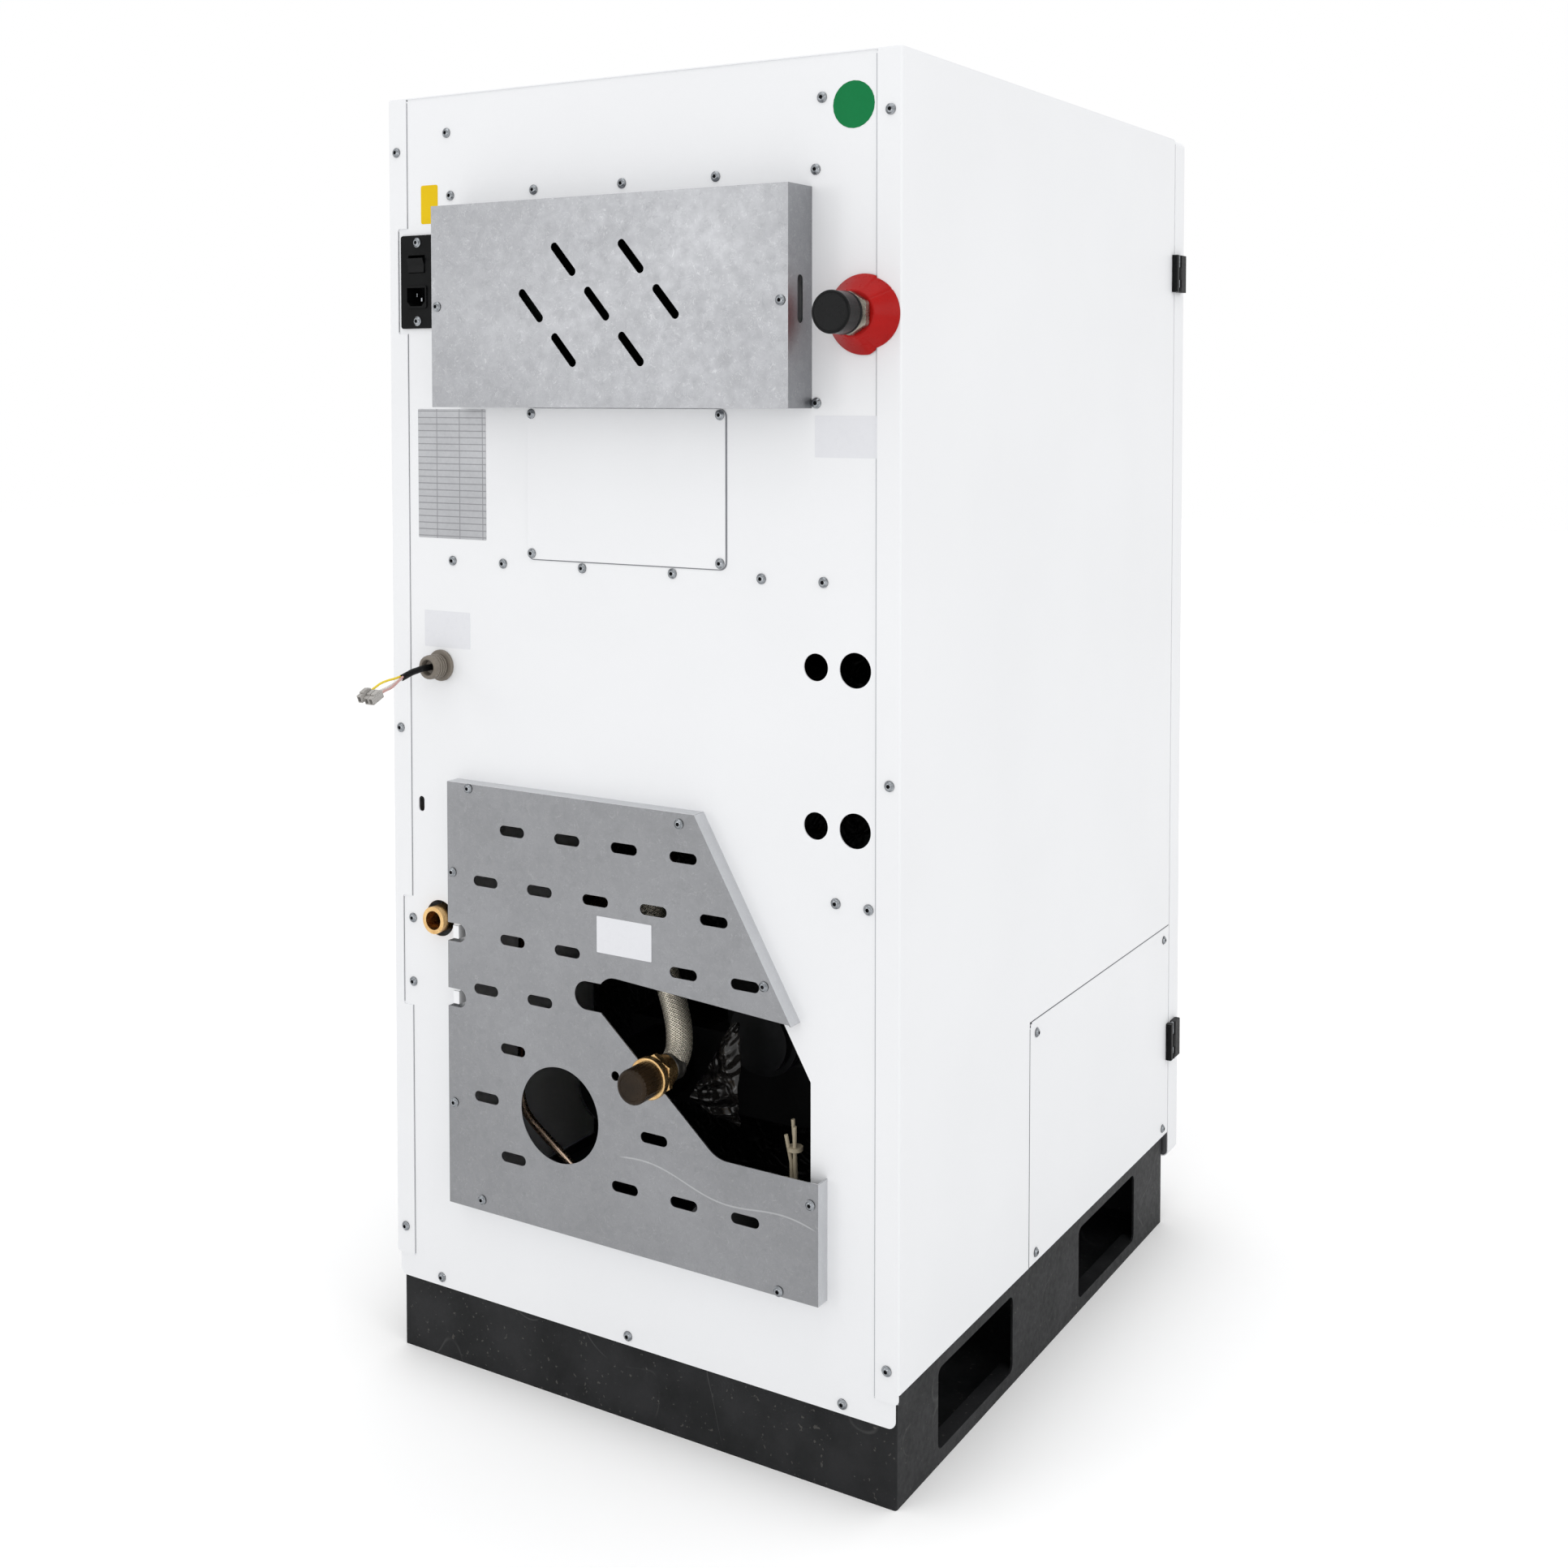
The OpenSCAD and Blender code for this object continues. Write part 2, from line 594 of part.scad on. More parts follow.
module hinge_door_leaves() color("#17181a") seat() for (z = hinge_z) difference() {
  union() {
    difference() {
      hinge_bar(axis_y - bar_gap - door_bar_w, axis_y - bar_gap, z);
      knuckle_z(z - hinge_h / 2 - clear, foot_knuckle_h + 2 * clear, knuckle_r + clear);
    }
    knuckle_z(z - mid_knuckle_h / 2, mid_knuckle_h, knuckle_r);
    translate([axis_x - 1.6, axis_y - bar_gap - 2, z - mid_knuckle_h / 2])
      cube([3.2, bar_gap + 2, mid_knuckle_h]);
  }
  knuckle_z(z - hinge_h, 2 * hinge_h, pin_r + running);
}
module hinge_pins() color("#a4a7ab") seat() for (z = hinge_z)
  knuckle_z(z - hinge_h / 2, hinge_h, pin_r);

// Upper galvanised cover over the control board.
vents = [[-0.5, 1], [0.5, 1], [-1, 0], [0, 0], [1, 0], [-0.5, -1], [0.5, -1]];
module electronics_cover() color("#b4b8bc") seat() difference() {
  stand(panel_y, cover_out) translate([cover_x, cover_z]) square([cover_w, cover_h], center = true);
  stand(panel_y - sheet, cover_out) translate([cover_x, cover_z])
    square([cover_w - 2 * sheet, cover_h - 2 * sheet], center = true);
  for (v = vents) stand(panel_y + cover_out - 4, 8)
    translate([cover_x + 3 + v[0] * vent_pitch, cover_z - 2 + v[1] * vent_row])
      rotate(vent_turn) slot(vent_l, vent_w);
  translate([from_left(cover_side), panel_y + cover_out / 2, cover_z - 2]) rotate([0, 90, 0])
    linear_extrude(8, center = true) slot(46, side_vent_w);
}
board_y = panel_y + 12;
module control_board() color("#1e4a34") seat() {
  stand(board_y, 1.6) translate([cover_x, cover_z]) square([340, 150], center = true);
  for (sx = [-1, 1]) for (sz = [-1, 1])
    bar_y(cover_x + sx * 160, panel_y, cover_z + sz * 65, 4, board_y - panel_y);
  for (k = [0:7]) translate([cover_x - 150 + k * 40, board_y + 1.6 - e, cover_z - 70])
    cube([30, 12, 14]);
  for (k = [0:3]) translate([cover_x - 120 + k * 46, board_y + 1.6 - e, cover_z + 10])
    cube([20, 16, 28]);
  translate([cover_x + 80, board_y + 1.6 - e, cover_z - 20]) cube([60, 22, 50]);
}

// Lower galvanised guard with its slots, flue hole and the cut-out for the hose.
slot_rows = [[0, [0, 1, 2, 3]], [1, [0, 1, 2, 3, 4]], [2, [0, 1, 3, 4]], [3, [0, 1]],
             [4, [0]], [5, [0, 3]], [6, [0, 2, 3, 4]]];
slot_start = from_left(457);
slot_shift = slot_pitch / 2;
slot_top = guard_foot + guard_h - 45;
cut_low = 312;
cut_high = 476;
// Outline of the cut-out: left end on a lobe, sloping foot, open towards the guard's edge
cut_points = [[from_left(345), cut_high], [from_left(60), cut_high - 17], [from_left(60), cut_low],
              [from_left(197), cut_low], [from_left(345), cut_low + 128]];
module hose_cut() {
  polygon(rounded(cut_points, [22, 1, 1, 34, 4]));
  // bay that the hose's union stands in
  translate([hose_x, hose_z]) circle(union_r + 0.5);
  translate([from_left(344), 451]) slot(60, 30);
}
module guard_face() difference() {
  guard_outline(0);
  hose_cut();
  translate([flue_x, flue_z]) circle(flue_hole / 2);
  for (row = slot_rows) for (k = row[1])
    translate([slot_start + (row[0] % 2) * slot_shift - k * slot_pitch, slot_top - row[0] * slot_row])
      slot(slot_l, slot_w);
  translate([from_left(322), 373]) circle(5);
  for (z = notch_z) translate([guard_edge, z]) slot(2 * notch_l, notch_h);
}
module flue_guard() color("#a7abaf") seat() {
  stand(panel_y + guard_out - sheet, sheet) guard_face();
  difference() {
    stand(panel_y, guard_out) difference() {
      guard_outline(0);
      guard_outline(sheet);
    }
    // the walls stop where the cut-out and the notches are
    translate([guard_x - 30, panel_y - 1, cut_low]) cube([75, guard_out + 2, cut_high - cut_low - 15]);
    for (z = notch_z) translate([guard_edge - 5, panel_y - 1, z - notch_h / 2])
      cube([10, guard_out + 2, notch_h]);
  }
}
module inspection_plate() color("#eef0f3") seat() stand(panel_y, sheet)
  translate([plate_x, plate_z]) round_rect(plate_w, plate_h, 8);

// Mains inlet with its socket and rocker.
inlet_t = 2.5;
module power_inlet() color("#161719") seat() {
  difference() {
    union() {
      stand(panel_y, inlet_t) translate([inlet_x, inlet_z]) round_rect(inlet_w, inlet_h, 3);
      stand(panel_y - 22, 22 + e) translate([inlet_x, rocker_z])
        square([rocker_w + 0.4, rocker_h + 2.4], center = true);
      stand(panel_y - 22, 22 + e) translate([inlet_x, socket_z])
        square([socket_w + 2.4, socket_h + 2.4], center = true);
      stand(panel_y, inlet_t + 1.5) translate([inlet_x, socket_z])
        round_rect(socket_w + 4, socket_h + 5, 3);
    }
    stand(panel_y - 15, 30) translate([inlet_x, rocker_z])
      square([rocker_w - 1, rocker_h - 1], center = true);
    stand(panel_y - 17, 30) translate([inlet_x, socket_z]) polygon([
      [-socket_w / 2, socket_h / 2], [socket_w / 2, socket_h / 2], [socket_w / 2, -socket_h / 2 + 5],
      [socket_w / 2 - 5, -socket_h / 2], [-socket_w / 2 + 5, -socket_h / 2],
      [-socket_w / 2, -socket_h / 2 + 5]]);
  }
  // pin that the rocker tips about
  bar_x(inlet_x - rocker_w / 2, rocker_y, rocker_z, rocker_pin - running, rocker_w);
}
module inlet_pins() color("#c4c7ca") seat() for (p = [[-7, 2.5], [7, 2.5], [0, -2.5]])
  translate([inlet_x + p[0] - 1, panel_y - 17, socket_z + p[1] - 2]) cube([2, 12, 4]);
// Rocker: a shallow V that tips about a pin across its middle.
rocker_y = panel_y - 4;
rocker_tip = 9;
rocker_pin = 1.5;
module rocker_switch() color("#0f1011") seat() translate([inlet_x, rocker_y, rocker_z])
  rotate([-rocker_tip, 0, 0]) difference() {
    rotate([90, 0, 90]) linear_extrude(rocker_w - 2, center = true) polygon([
      [-6, -4], [5, -rocker_h / 2 + 2.2], [9.4, -rocker_h / 2 + 2.4], [7.6, 0],
      [9.4, rocker_h / 2 - 2.4], [5, rocker_h / 2 - 2.2], [-6, 4]]);
    translate([-rocker_w, 0, 0]) rotate([0, 90, 0]) cylinder(r = rocker_pin, h = 2 * rocker_w);
  }

// Cable gland and the short lead that comes out of it.
lead_d = 7;
gland_thread = 20;
gland_bore = 9;
gland_out = 24;
module cable_gland() color("#7d766c") seat() translate([gland_x, panel_y, gland_z])
  rotate([-90, 0, 0]) rotate_extrude() polygon([
    [gland_bore, -12], [gland_thread / 2, -12], [gland_thread / 2, 0], [17.5, 0], [17.5, 2.5],
    [16.5, 4.5], [12.8, 5], [12.8, 7], [13.6, 8], [13.6, 15], [13, 16.5], [13.2, 18],
    [12.2, 22], [10.4, gland_out], [7.6, gland_out], [7.2, gland_out - 6],
    [lead_d / 2 + clear, gland_out - 8], [lead_d / 2 + clear, -4], [gland_bore, -6]]);
// Sweep of a round section along hand-chosen points.
function along(p, i) = unit(p[min(i + 1, len(p) - 1)] - p[max(i - 1, 0)]);
function ring(c, t, r, n) =
  let (a = unit(cross(t, abs(t[2]) > 0.9 ? [1, 0, 0] : [0, 0, 1])), b = cross(t, a))
  [for (k = [0:n - 1]) c + r * (cos(360 * k / n) * a + sin(360 * k / n) * b)];
// Skin over rings of n points, closed at both ends
module skin(rings, n) polyhedron(
  points = [for (r = rings) each r],
  faces = concat([[for (k = [0:n - 1]) k]],
    [for (i = [0:len(rings) - 2]) for (k = [0:n - 1]) each [
      [i * n + k, (i + 1) * n + k, (i + 1) * n + (k + 1) % n],
      [i * n + k, (i + 1) * n + (k + 1) % n, i * n + (k + 1) % n]]],
    [[for (k = [n - 1:-1:0]) (len(rings) - 1) * n + k]]));
module sweep(p, r, n) skin([for (i = [0:len(p) - 1]) ring(p[i], along(p, i), r, n)], n);
// Route of the lead's sheath, from inside the gland, as steps from its mouth
sheath_route = [[0, -36, 0], [0, -12, 0], [0, 0, 0], [0, 8, 0], [0, 16, -1], [0, 24, -2], [0, 32, -4],
                [0, 40, -6]];
core_d = 2.6;
// Routes of the three cores, from the sheath's end into the connectors
core_routes = [
  [[1.7, 40, -4.6], [3, 48, -6], [5, 56, -7], [6, 66, -9], [6, 74, -12], [6, 82, -15]],
  [[0, 40, -7.6], [-0.5, 48, -9], [-1, 56, -11], [-1, 64, -13], [0, 72, -15], [0, 78, -17]],
  [[-1.7, 40, -4.6], [-4, 48, -7], [-6, 56, -10], [-7, 64, -13], [-6, 72, -15], [-6, 78, -17]]];
function from_gland(p) = [gland_x + p[0], panel_y + gland_out + p[1], gland_z + p[2]];
module lead_sheath() color("#141516") seat()
  sweep([for (p = sheath_route) from_gland(p)], lead_d / 2, 12);
module lead_cores() color("#e8cf3a") seat() for (route = core_routes)
  sweep([for (p = route) from_gland(p)], core_d / 2, 8);
// Three lever connectors side by side on the cores' ends.
lever_w = 5.6;
module lever_connector() color("#b9b8b6") seat() for (k = [-1, 0, 1])
  translate(from_gland([k * 6, k == 1 ? 82 : 78, k == 1 ? -15 : -17])) rotate([-24, 0, 0]) {
    translate([-lever_w / 2, 0, -4]) cube([lever_w, 17, 8.4]);
    translate([-lever_w / 2, 3, 4.4 - e]) cube([lever_w, 9, 2]);
  }

// Flow connection at the top: rosette, nut, capped pipe.
rosette_l = 22;
rosette_turn = -142;
nut_l = 13;
module flow_rosette() color("#c22a26") seat() translate([flow_x, rear_y, flow_z])
  rotate([-90, 0, 0]) difference() {
    rotate_extrude($fn = 72) polygon([
      [pipe_r + 1, 0], [rosette_d / 2, 0], [rosette_d / 2, 1.6], [rosette_d / 2 - 1, 3],
      [pipe_r + 9, rosette_l - 1], [pipe_r + 8, rosette_l], [pipe_r + 1, rosette_l]]);
    // slit by which it is slipped over the pipe
    rotate(rosette_turn) translate([0, -0.4, -1]) cube([rosette_d, 0.8, rosette_l + 2]);
  }
module flow_nut() color("#a8a8a2") seat() translate([flow_x, rear_y + rosette_l + clear, flow_z])
  rotate([-90, 0, 0]) difference() {
    union() {
      hex_nut(pipe_r + 8.5, nut_l - 3);
      cylinder(r = pipe_r + 4.5, h = nut_l);
    }
    translate([0, 0, -1]) cylinder(r = pipe_r + running, h = nut_l + 2);
  }
cap_l = 30;
module flow_cap() color("#1b1c1e") seat() translate([flow_x, rear_y + flow_out - cap_l, flow_z])
  rotate([-90, 0, 0]) rotate_extrude() polygon([
    [pipe_r + clear, 0], [flow_cap_d / 2, 0], [flow_cap_d / 2, cap_l - 1.5],
    [flow_cap_d / 2 - 1.5, cap_l], [0, cap_l], [0, cap_l - 3], [pipe_r + clear, cap_l - 3]]);

// Pipes: straight runs and quarter bends. A bend's centre is given, with the directions
// from it to the run that comes in and to the run that goes out.
module pipe_z(x, y, z, r, l, wall) translate([x, y, z]) difference() {
  cylinder(r = r, h = l);
  translate([0, 0, -1]) cylinder(r = r - wall, h = l + 2);
}
module pipe_x(x, y, z, r, l, wall) difference() {
  bar_x(x, y, z, r, l);
  bar_x(x - 1, y, z, r - wall, l + 2);
}
module corner(c, a, b, bend, r, wall) translate(c)
  multmatrix([for (i = [0:2]) [a[i], b[i], cross(a, b)[i], 0]])
    rotate_extrude(angle = 90) translate([bend, 0]) difference() {
      circle(r);
      circle(r - wall);
    }
LEFT = [-1, 0, 0];
RIGHT = [1, 0, 0];
FRONT = [0, -1, 0];
BACK = [0, 1, 0];
UP = [0, 0, 1];
DOWN = [0, 0, -1];

// Water jacket and what stands round it
tank_front = front_y + 105;
tank_rear = tank_front + tank_d;
tank_z = pan_top + 30;
tank_top = tank_z + tank_h;
tank_mid = (tank_front + tank_rear) / 2;
lag_top = tank_top + lag_t;
lag_rear = tank_rear + lag_t;
chamber_w = 300;
chamber_z = [tank_z + 150, tank_z + 490];
chamber_back = tank_front + 290;
ash_z = [tank_z + 10, tank_z + 112];
ash_back = tank_front + 330;
burner_y = tank_front + 130;
burner_r = 46;
burner_hole = burner_r + 2;
chute_r = 35;
chute_t = 4;
fan_x = from_left(225);
fan_z = flue_z + 74;
fan_inlet = 35;
hose_d = 28;
hose_x = from_left(268);
hose_z = 386;
hose_out = 65;
union_r = 17.5;
union_nut_r = 22;
pump_x = hose_x + 74;
pump_y = -78;
pump_port = 16;
pump_z = [560, 720];
return_bend = 30;
return_z = pump_z[1] + 10 + return_bend;
return_r = 11;
drain_r = 11;
drain_bend = 30;
drain_turn_y = -50;
drain_into_x = drain_x - 104;
flow_bend = 40;
flow_down_y = tank_mid + 60;
flow_low_z = lag_top + 46;
flow_into_x = -tank_w / 2 + 100;

module flow_pipe() color("#8d8a84") seat() {
  tube_y(flow_x, flow_down_y + flow_bend, flow_z, pipe_r, flow_out - 4 - flow_down_y - flow_bend,
         pipe_wall);
  corner([flow_x, flow_down_y + flow_bend, flow_z - flow_bend], UP, FRONT, flow_bend, pipe_r,
         pipe_wall);
  pipe_z(flow_x, flow_down_y, flow_low_z + flow_bend, pipe_r, flow_z - flow_low_z - 2 * flow_bend,
         pipe_wall);
  corner([flow_x + flow_bend, flow_down_y, flow_low_z + flow_bend], LEFT, DOWN, flow_bend, pipe_r,
         pipe_wall);
  pipe_x(flow_x + flow_bend, flow_down_y, flow_low_z, pipe_r,
         flow_into_x - flow_x - 2 * flow_bend, pipe_wall);
  corner([flow_into_x - flow_bend, flow_down_y, flow_low_z - flow_bend], UP, RIGHT, flow_bend,
         pipe_r, pipe_wall);
  pipe_z(flow_into_x, flow_down_y, tank_top, pipe_r, flow_low_z - flow_bend - tank_top, pipe_wall);
}

// Drain port: a brass body in the panel's hole, and its pipe to the jacket.
module drain_elbow() color("#b98a45") seat() {
  tube_y(drain_x, drain_turn_y, drain_z, drain_r, -16 - drain_turn_y, 2);
  tube_y(drain_x, -17, drain_z, 15, 27, 4.5);
  difference() {
    translate([drain_x, -34, drain_z]) rotate([-90, 0, 0]) hex_nut(17.5, 18);
    bar_y(drain_x, -36, drain_z, drain_r - 1, 24);
  }
  corner([drain_x - drain_bend, drain_turn_y, drain_z], RIGHT, FRONT, drain_bend, drain_r, 2);
  pipe_x(drain_into_x + drain_bend, drain_turn_y - drain_bend, drain_z, drain_r,
         drain_x - drain_into_x - 2 * drain_bend, 2);
  corner([drain_into_x + drain_bend, drain_turn_y - 2 * drain_bend, drain_z], BACK, LEFT,
         drain_bend, drain_r, 2);
  tube_y(drain_into_x, tank_rear, drain_z, drain_r, drain_turn_y - 2 * drain_bend - tank_rear, 2);
}

// Braided return hose, from the pump's lower port out through the guard, with its union and cap.
// Route of the hose, as steps from its brass union at the panel
hose_route = [[0, 2, 0], [0, -6, 1], [0, -14, 5], [2, -24, 14], [8, -33, 30], [18, -41, 48],
              [32, -49, 70], [48, -57, 95], [60, -65, 118], [69, -72, 140], [73, -77, 160],
              [74, -78, 174]];
module return_hose() color("#8f8b84") seat()
  sweep([for (p = hose_route) [hose_x + p[0], p[1], hose_z + p[2]]], hose_d / 2, 12);
module hose_union() color("#b98a45") seat() translate([hose_x, 0, hose_z]) difference() {
  union() {
    bar_y(0, 2, 0, 15.5, 9);
    bar_y(0, 10, 0, union_r, 7);
    translate([0, 17, 0]) rotate([-90, 0, 0]) hex_nut(union_nut_r, 9);
    bar_y(0, 25, 0, union_nut_r - 2.5, 3);
    bar_y(0, 27.5, 0, union_nut_r - 0.5, 9);
    bar_y(0, 36, 0, 14, 15);
  }
  bar_y(0, 2 - e, 0, 9.5, 60);
}
module hose_cap() color("#4a3627") seat() translate([hose_x, 0, hose_z]) difference() {
  union() {
    bar_y(0, 37, 0, 18, hose_out - 38.5);
    bar_y(0, hose_out - 2, 0, 16.8, 2);
  }
  bar_y(0, 35, 0, 14 + clear, 17);
  for (k = [0:23]) rotate([0, k * 15, 0]) translate([17.3, 39, -0.6]) cube([2, hose_out, 1.2]);
}
module return_pump() color("#5a1f1c") seat() {
  difference() {
    union() {
      translate([pump_x, pump_y, pump_z[0]]) cylinder(r = pump_port, h = pump_z[1] - pump_z[0]);
      for (z = [pump_z[0] + 4, pump_z[1] - 24]) translate([pump_x, pump_y, z])
        cylinder(r = 27, h = 20, $fn = 8);
      bar_y(pump_x, pump_y - 24, (pump_z[0] + pump_z[1]) / 2, 46, 44);
    }
    for (z = [pump_z[0] - 1, pump_z[1] - 24]) translate([pump_x, pump_y, z])
      cylinder(r = return_r - 1, h = 25);
  }
  bar_y(pump_x, pump_y - 92, (pump_z[0] + pump_z[1]) / 2, 43, 69);
  bar_y(pump_x, pump_y - 98, (pump_z[0] + pump_z[1]) / 2, 12, 7);
  translate([pump_x + 20, pump_y - 84, (pump_z[0] + pump_z[1]) / 2 - 24]) cube([46, 46, 48]);
}
module return_pipe() color("#b4713f") seat() {
  pipe_z(pump_x, pump_y, pump_z[1], return_r, return_z - return_bend - pump_z[1], 1.5);
  corner([pump_x, pump_y - return_bend, return_z - return_bend], BACK, UP, return_bend, return_r,
         1.5);
  tube_y(pump_x, tank_rear, return_z, return_r, pump_y - return_bend - tank_rear, 1.5);
}
// Bent copper tube that leads the safety valve's water down to the floor pan
discharge_route = [[202, -80, 485.7], [202, -80, 440], [202, -80, 380], [202, -77, 320],
                   [200, -72, 295], [190, -64, 271], [172, -60, 257], [152, -60, 243],
                   [131, -60, 229], [114, -62, 214], [104, -66, 196], [100, -70, 172],
                   [100, -70, 146], [100, -70, 120]];
module discharge_tube() color("#c58a5a") seat() sweep(discharge_route, 4.5, 10);

// Water jacket round the fire chamber and the ash chamber; its hollow holds the water.
module block(x0, x1, y0, y1, z0, z1) translate([x0, y0, z0]) cube([x1 - x0, y1 - y0, z1 - z0]);
module room(w, back, zz, grow) block(-w / 2 - grow, w / 2 + grow, tank_front, back + grow,
                                     zz[0] - grow, zz[1] + grow);
fire_axis_x = -184;
fire_axis_y = tank_front - 22;
fire_pin = 4;
fire_z = [chamber_z[0] - 12, chamber_z[1] + 12];
lug_z = [fire_z[0] + 20, fire_z[1] - 40];
lug_r = 9;
lug_h = 20;
module boiler_body() color("#4c4e51") seat() difference() {
  union() {
    difference() {
      block(-tank_w / 2, tank_w / 2, tank_front, tank_rear, tank_z, tank_top);
      block(-tank_w / 2 + plate_t, tank_w / 2 - plate_t, tank_front + plate_t, tank_rear - plate_t,
            tank_z + plate_t, tank_top - plate_t);
    }
    room(chamber_w, chamber_back, chamber_z, plate_t);
    room(chamber_w, ash_back, ash_z, plate_t);
    translate([0, burner_y, ash_z[1]]) cylinder(r = burner_hole + plate_t,
                                                h = chamber_z[0] - ash_z[1]);
    translate([0, burner_y, chamber_z[1]]) cylinder(r = chute_r, h = tank_top - chamber_z[1]);
    bar_y(fan_x, chamber_back, fan_z, fan_inlet + plate_t, tank_rear - chamber_back);
    for (sx = [-1, 1]) for (y = [tank_front + 20, tank_rear - 70])
      translate([sx * (tank_w / 2 - 35) - 25, y, pan_top]) cube([50, 50, tank_z - pan_top + 1]);
    for (z = lug_z) translate([fire_axis_x, fire_axis_y, z]) {
      cylinder(r = lug_r, h = lug_h);
      translate([-lug_r, 0, 0]) cube([2 * lug_r, tank_front - fire_axis_y + e, lug_h]);
    }
  }
  translate([0, -1, 0]) room(chamber_w, chamber_back + 1, chamber_z, 0);
  translate([0, -1, 0]) room(chamber_w, ash_back + 1, ash_z, 0);
  translate([0, burner_y, ash_z[1] - 1]) cylinder(r = burner_hole, h = 60);
  translate([0, burner_y, chamber_z[1] - 1]) cylinder(r = chute_r - chute_t, h = tank_h);
  bar_y(fan_x, chamber_back - 1, fan_z, fan_inlet, tank_rear - chamber_back + 2);
  // ports of the water space
  translate([flow_into_x, flow_down_y, tank_top - 20]) cylinder(r = pipe_r - pipe_wall, h = 40);
  bar_y(pump_x, tank_rear - 20, return_z, return_r - 1.5, 40);
  bar_y(drain_into_x, tank_rear - 20, drain_z, drain_r - 2, 40);
  for (z = lug_z) translate([fire_axis_x, fire_axis_y, z - 1])
    cylinder(r = fire_pin + running, h = lug_h + 2);
}
module boiler_lagging() color("#2b2c2e") seat() difference() {
  block(-tank_w / 2 - lag_t, tank_w / 2 + lag_t, tank_front + 2, lag_rear, tank_z, lag_top);
  block(-tank_w / 2 - clear, tank_w / 2 + clear, tank_front - 1, tank_rear + clear, tank_z - 1,
        tank_top + clear);
  translate([flow_into_x, flow_down_y, tank_top - 1]) cylinder(r = pipe_r + 2, h = 60);
  translate([0, burner_y, tank_top - 1]) cylinder(r = chute_r + 2, h = 60);
  bar_y(pump_x, tank_rear - 1, return_z, return_r + 2, 60);
  bar_y(drain_into_x, tank_rear - 1, drain_z, drain_r + 2, 60);
  bar_y(fan_x, tank_rear - 1, fan_z, fan_inlet + 5, 60);
}
fire_w = [-172, 172];
knuckle_z = [lug_z[0] + 21, lug_z[1] - 41];
module fire_door() color("#37393c") seat() {
  difference() {
    block(fire_w[0], fire_w[1], tank_front - 34, tank_front - 0.5, fire_z[0], fire_z[1]);
    // shallow field cast into the outer face
    block(fire_w[0] + 22, fire_w[1] - 22, tank_front - 35, tank_front - 29, fire_z[0] + 22,
          fire_z[1] - 22);
  }
  for (z = knuckle_z) {
    translate([fire_axis_x, fire_axis_y, z]) cylinder(r = 9, h = 40);
    translate([fire_axis_x, fire_axis_y - 6, z]) cube([14, 12, 40]);
  }
  for (z = [lug_z[0], lug_z[1] - 10]) translate([fire_axis_x, fire_axis_y, z])
    cylinder(r = fire_pin, h = 30);
}
fire_grip_x = chamber_w / 2 - 30;
fire_grip_y = tank_front - 62;
fire_grip_z = (chamber_z[0] + chamber_z[1]) / 2;
fire_grip_l = 150;
module fire_door_handle() color("#1a1b1d") seat() {
  for (s = [-1, 1]) bar_y(fire_grip_x, fire_grip_y, fire_grip_z + s * (fire_grip_l / 2 - 15), 6, 33);
  translate([fire_grip_x, fire_grip_y, fire_grip_z - fire_grip_l / 2])
    cylinder(r = 8, h = fire_grip_l);
}
pot_top = chamber_z[0] + 50;
module burner_pot() color("#5b4a3e") seat() translate([0, burner_y, 0]) difference() {
  union() {
    translate([0, 0, chamber_z[0]]) cylinder(r = burner_hole + 14, h = 4);
    translate([0, 0, ash_z[1] + 8]) cylinder(r = burner_r, h = pot_top - ash_z[1] - 8);
  }
  translate([0, 0, ash_z[1] + 12]) cylinder(r = burner_r - 5, h = 200);
  for (k = [0:11]) for (z = [18, 34]) rotate([0, 0, k * 30]) translate([0, 0, chamber_z[0] + z])
    rotate([0, 90, 0]) cylinder(r = 3, h = 60);
  for (k = [0:5]) rotate([0, 0, k * 60]) translate([22, 0, ash_z[1]]) cylinder(r = 5, h = 40);
  translate([0, 0, ash_z[1]]) cylinder(r = 6, h = 40);
}
drawer_gap = 4;
module ash_drawer() color("#7d8084") seat() {
  difference() {
    block(-chamber_w / 2 + drawer_gap, chamber_w / 2 - drawer_gap, tank_front - 3, ash_back - 6,
          ash_z[0] + clear, ash_z[1] - 12);
    block(-chamber_w / 2 + drawer_gap + 2, chamber_w / 2 - drawer_gap - 2, tank_front + 1,
          ash_back - 8, ash_z[0] + clear + 2, ash_z[1]);
  }
  block(-chamber_w / 2 - 12, chamber_w / 2 + 12, tank_front - 8, tank_front - 2, ash_z[0] - 8,
        ash_z[1] + 6);
  for (x = [-60, 60]) bar_y(x, tank_front - 40, ash_z[1] - 36, 5, 33);
  bar_x(-75, tank_front - 40, ash_z[1] - 36, 6, 150);
}

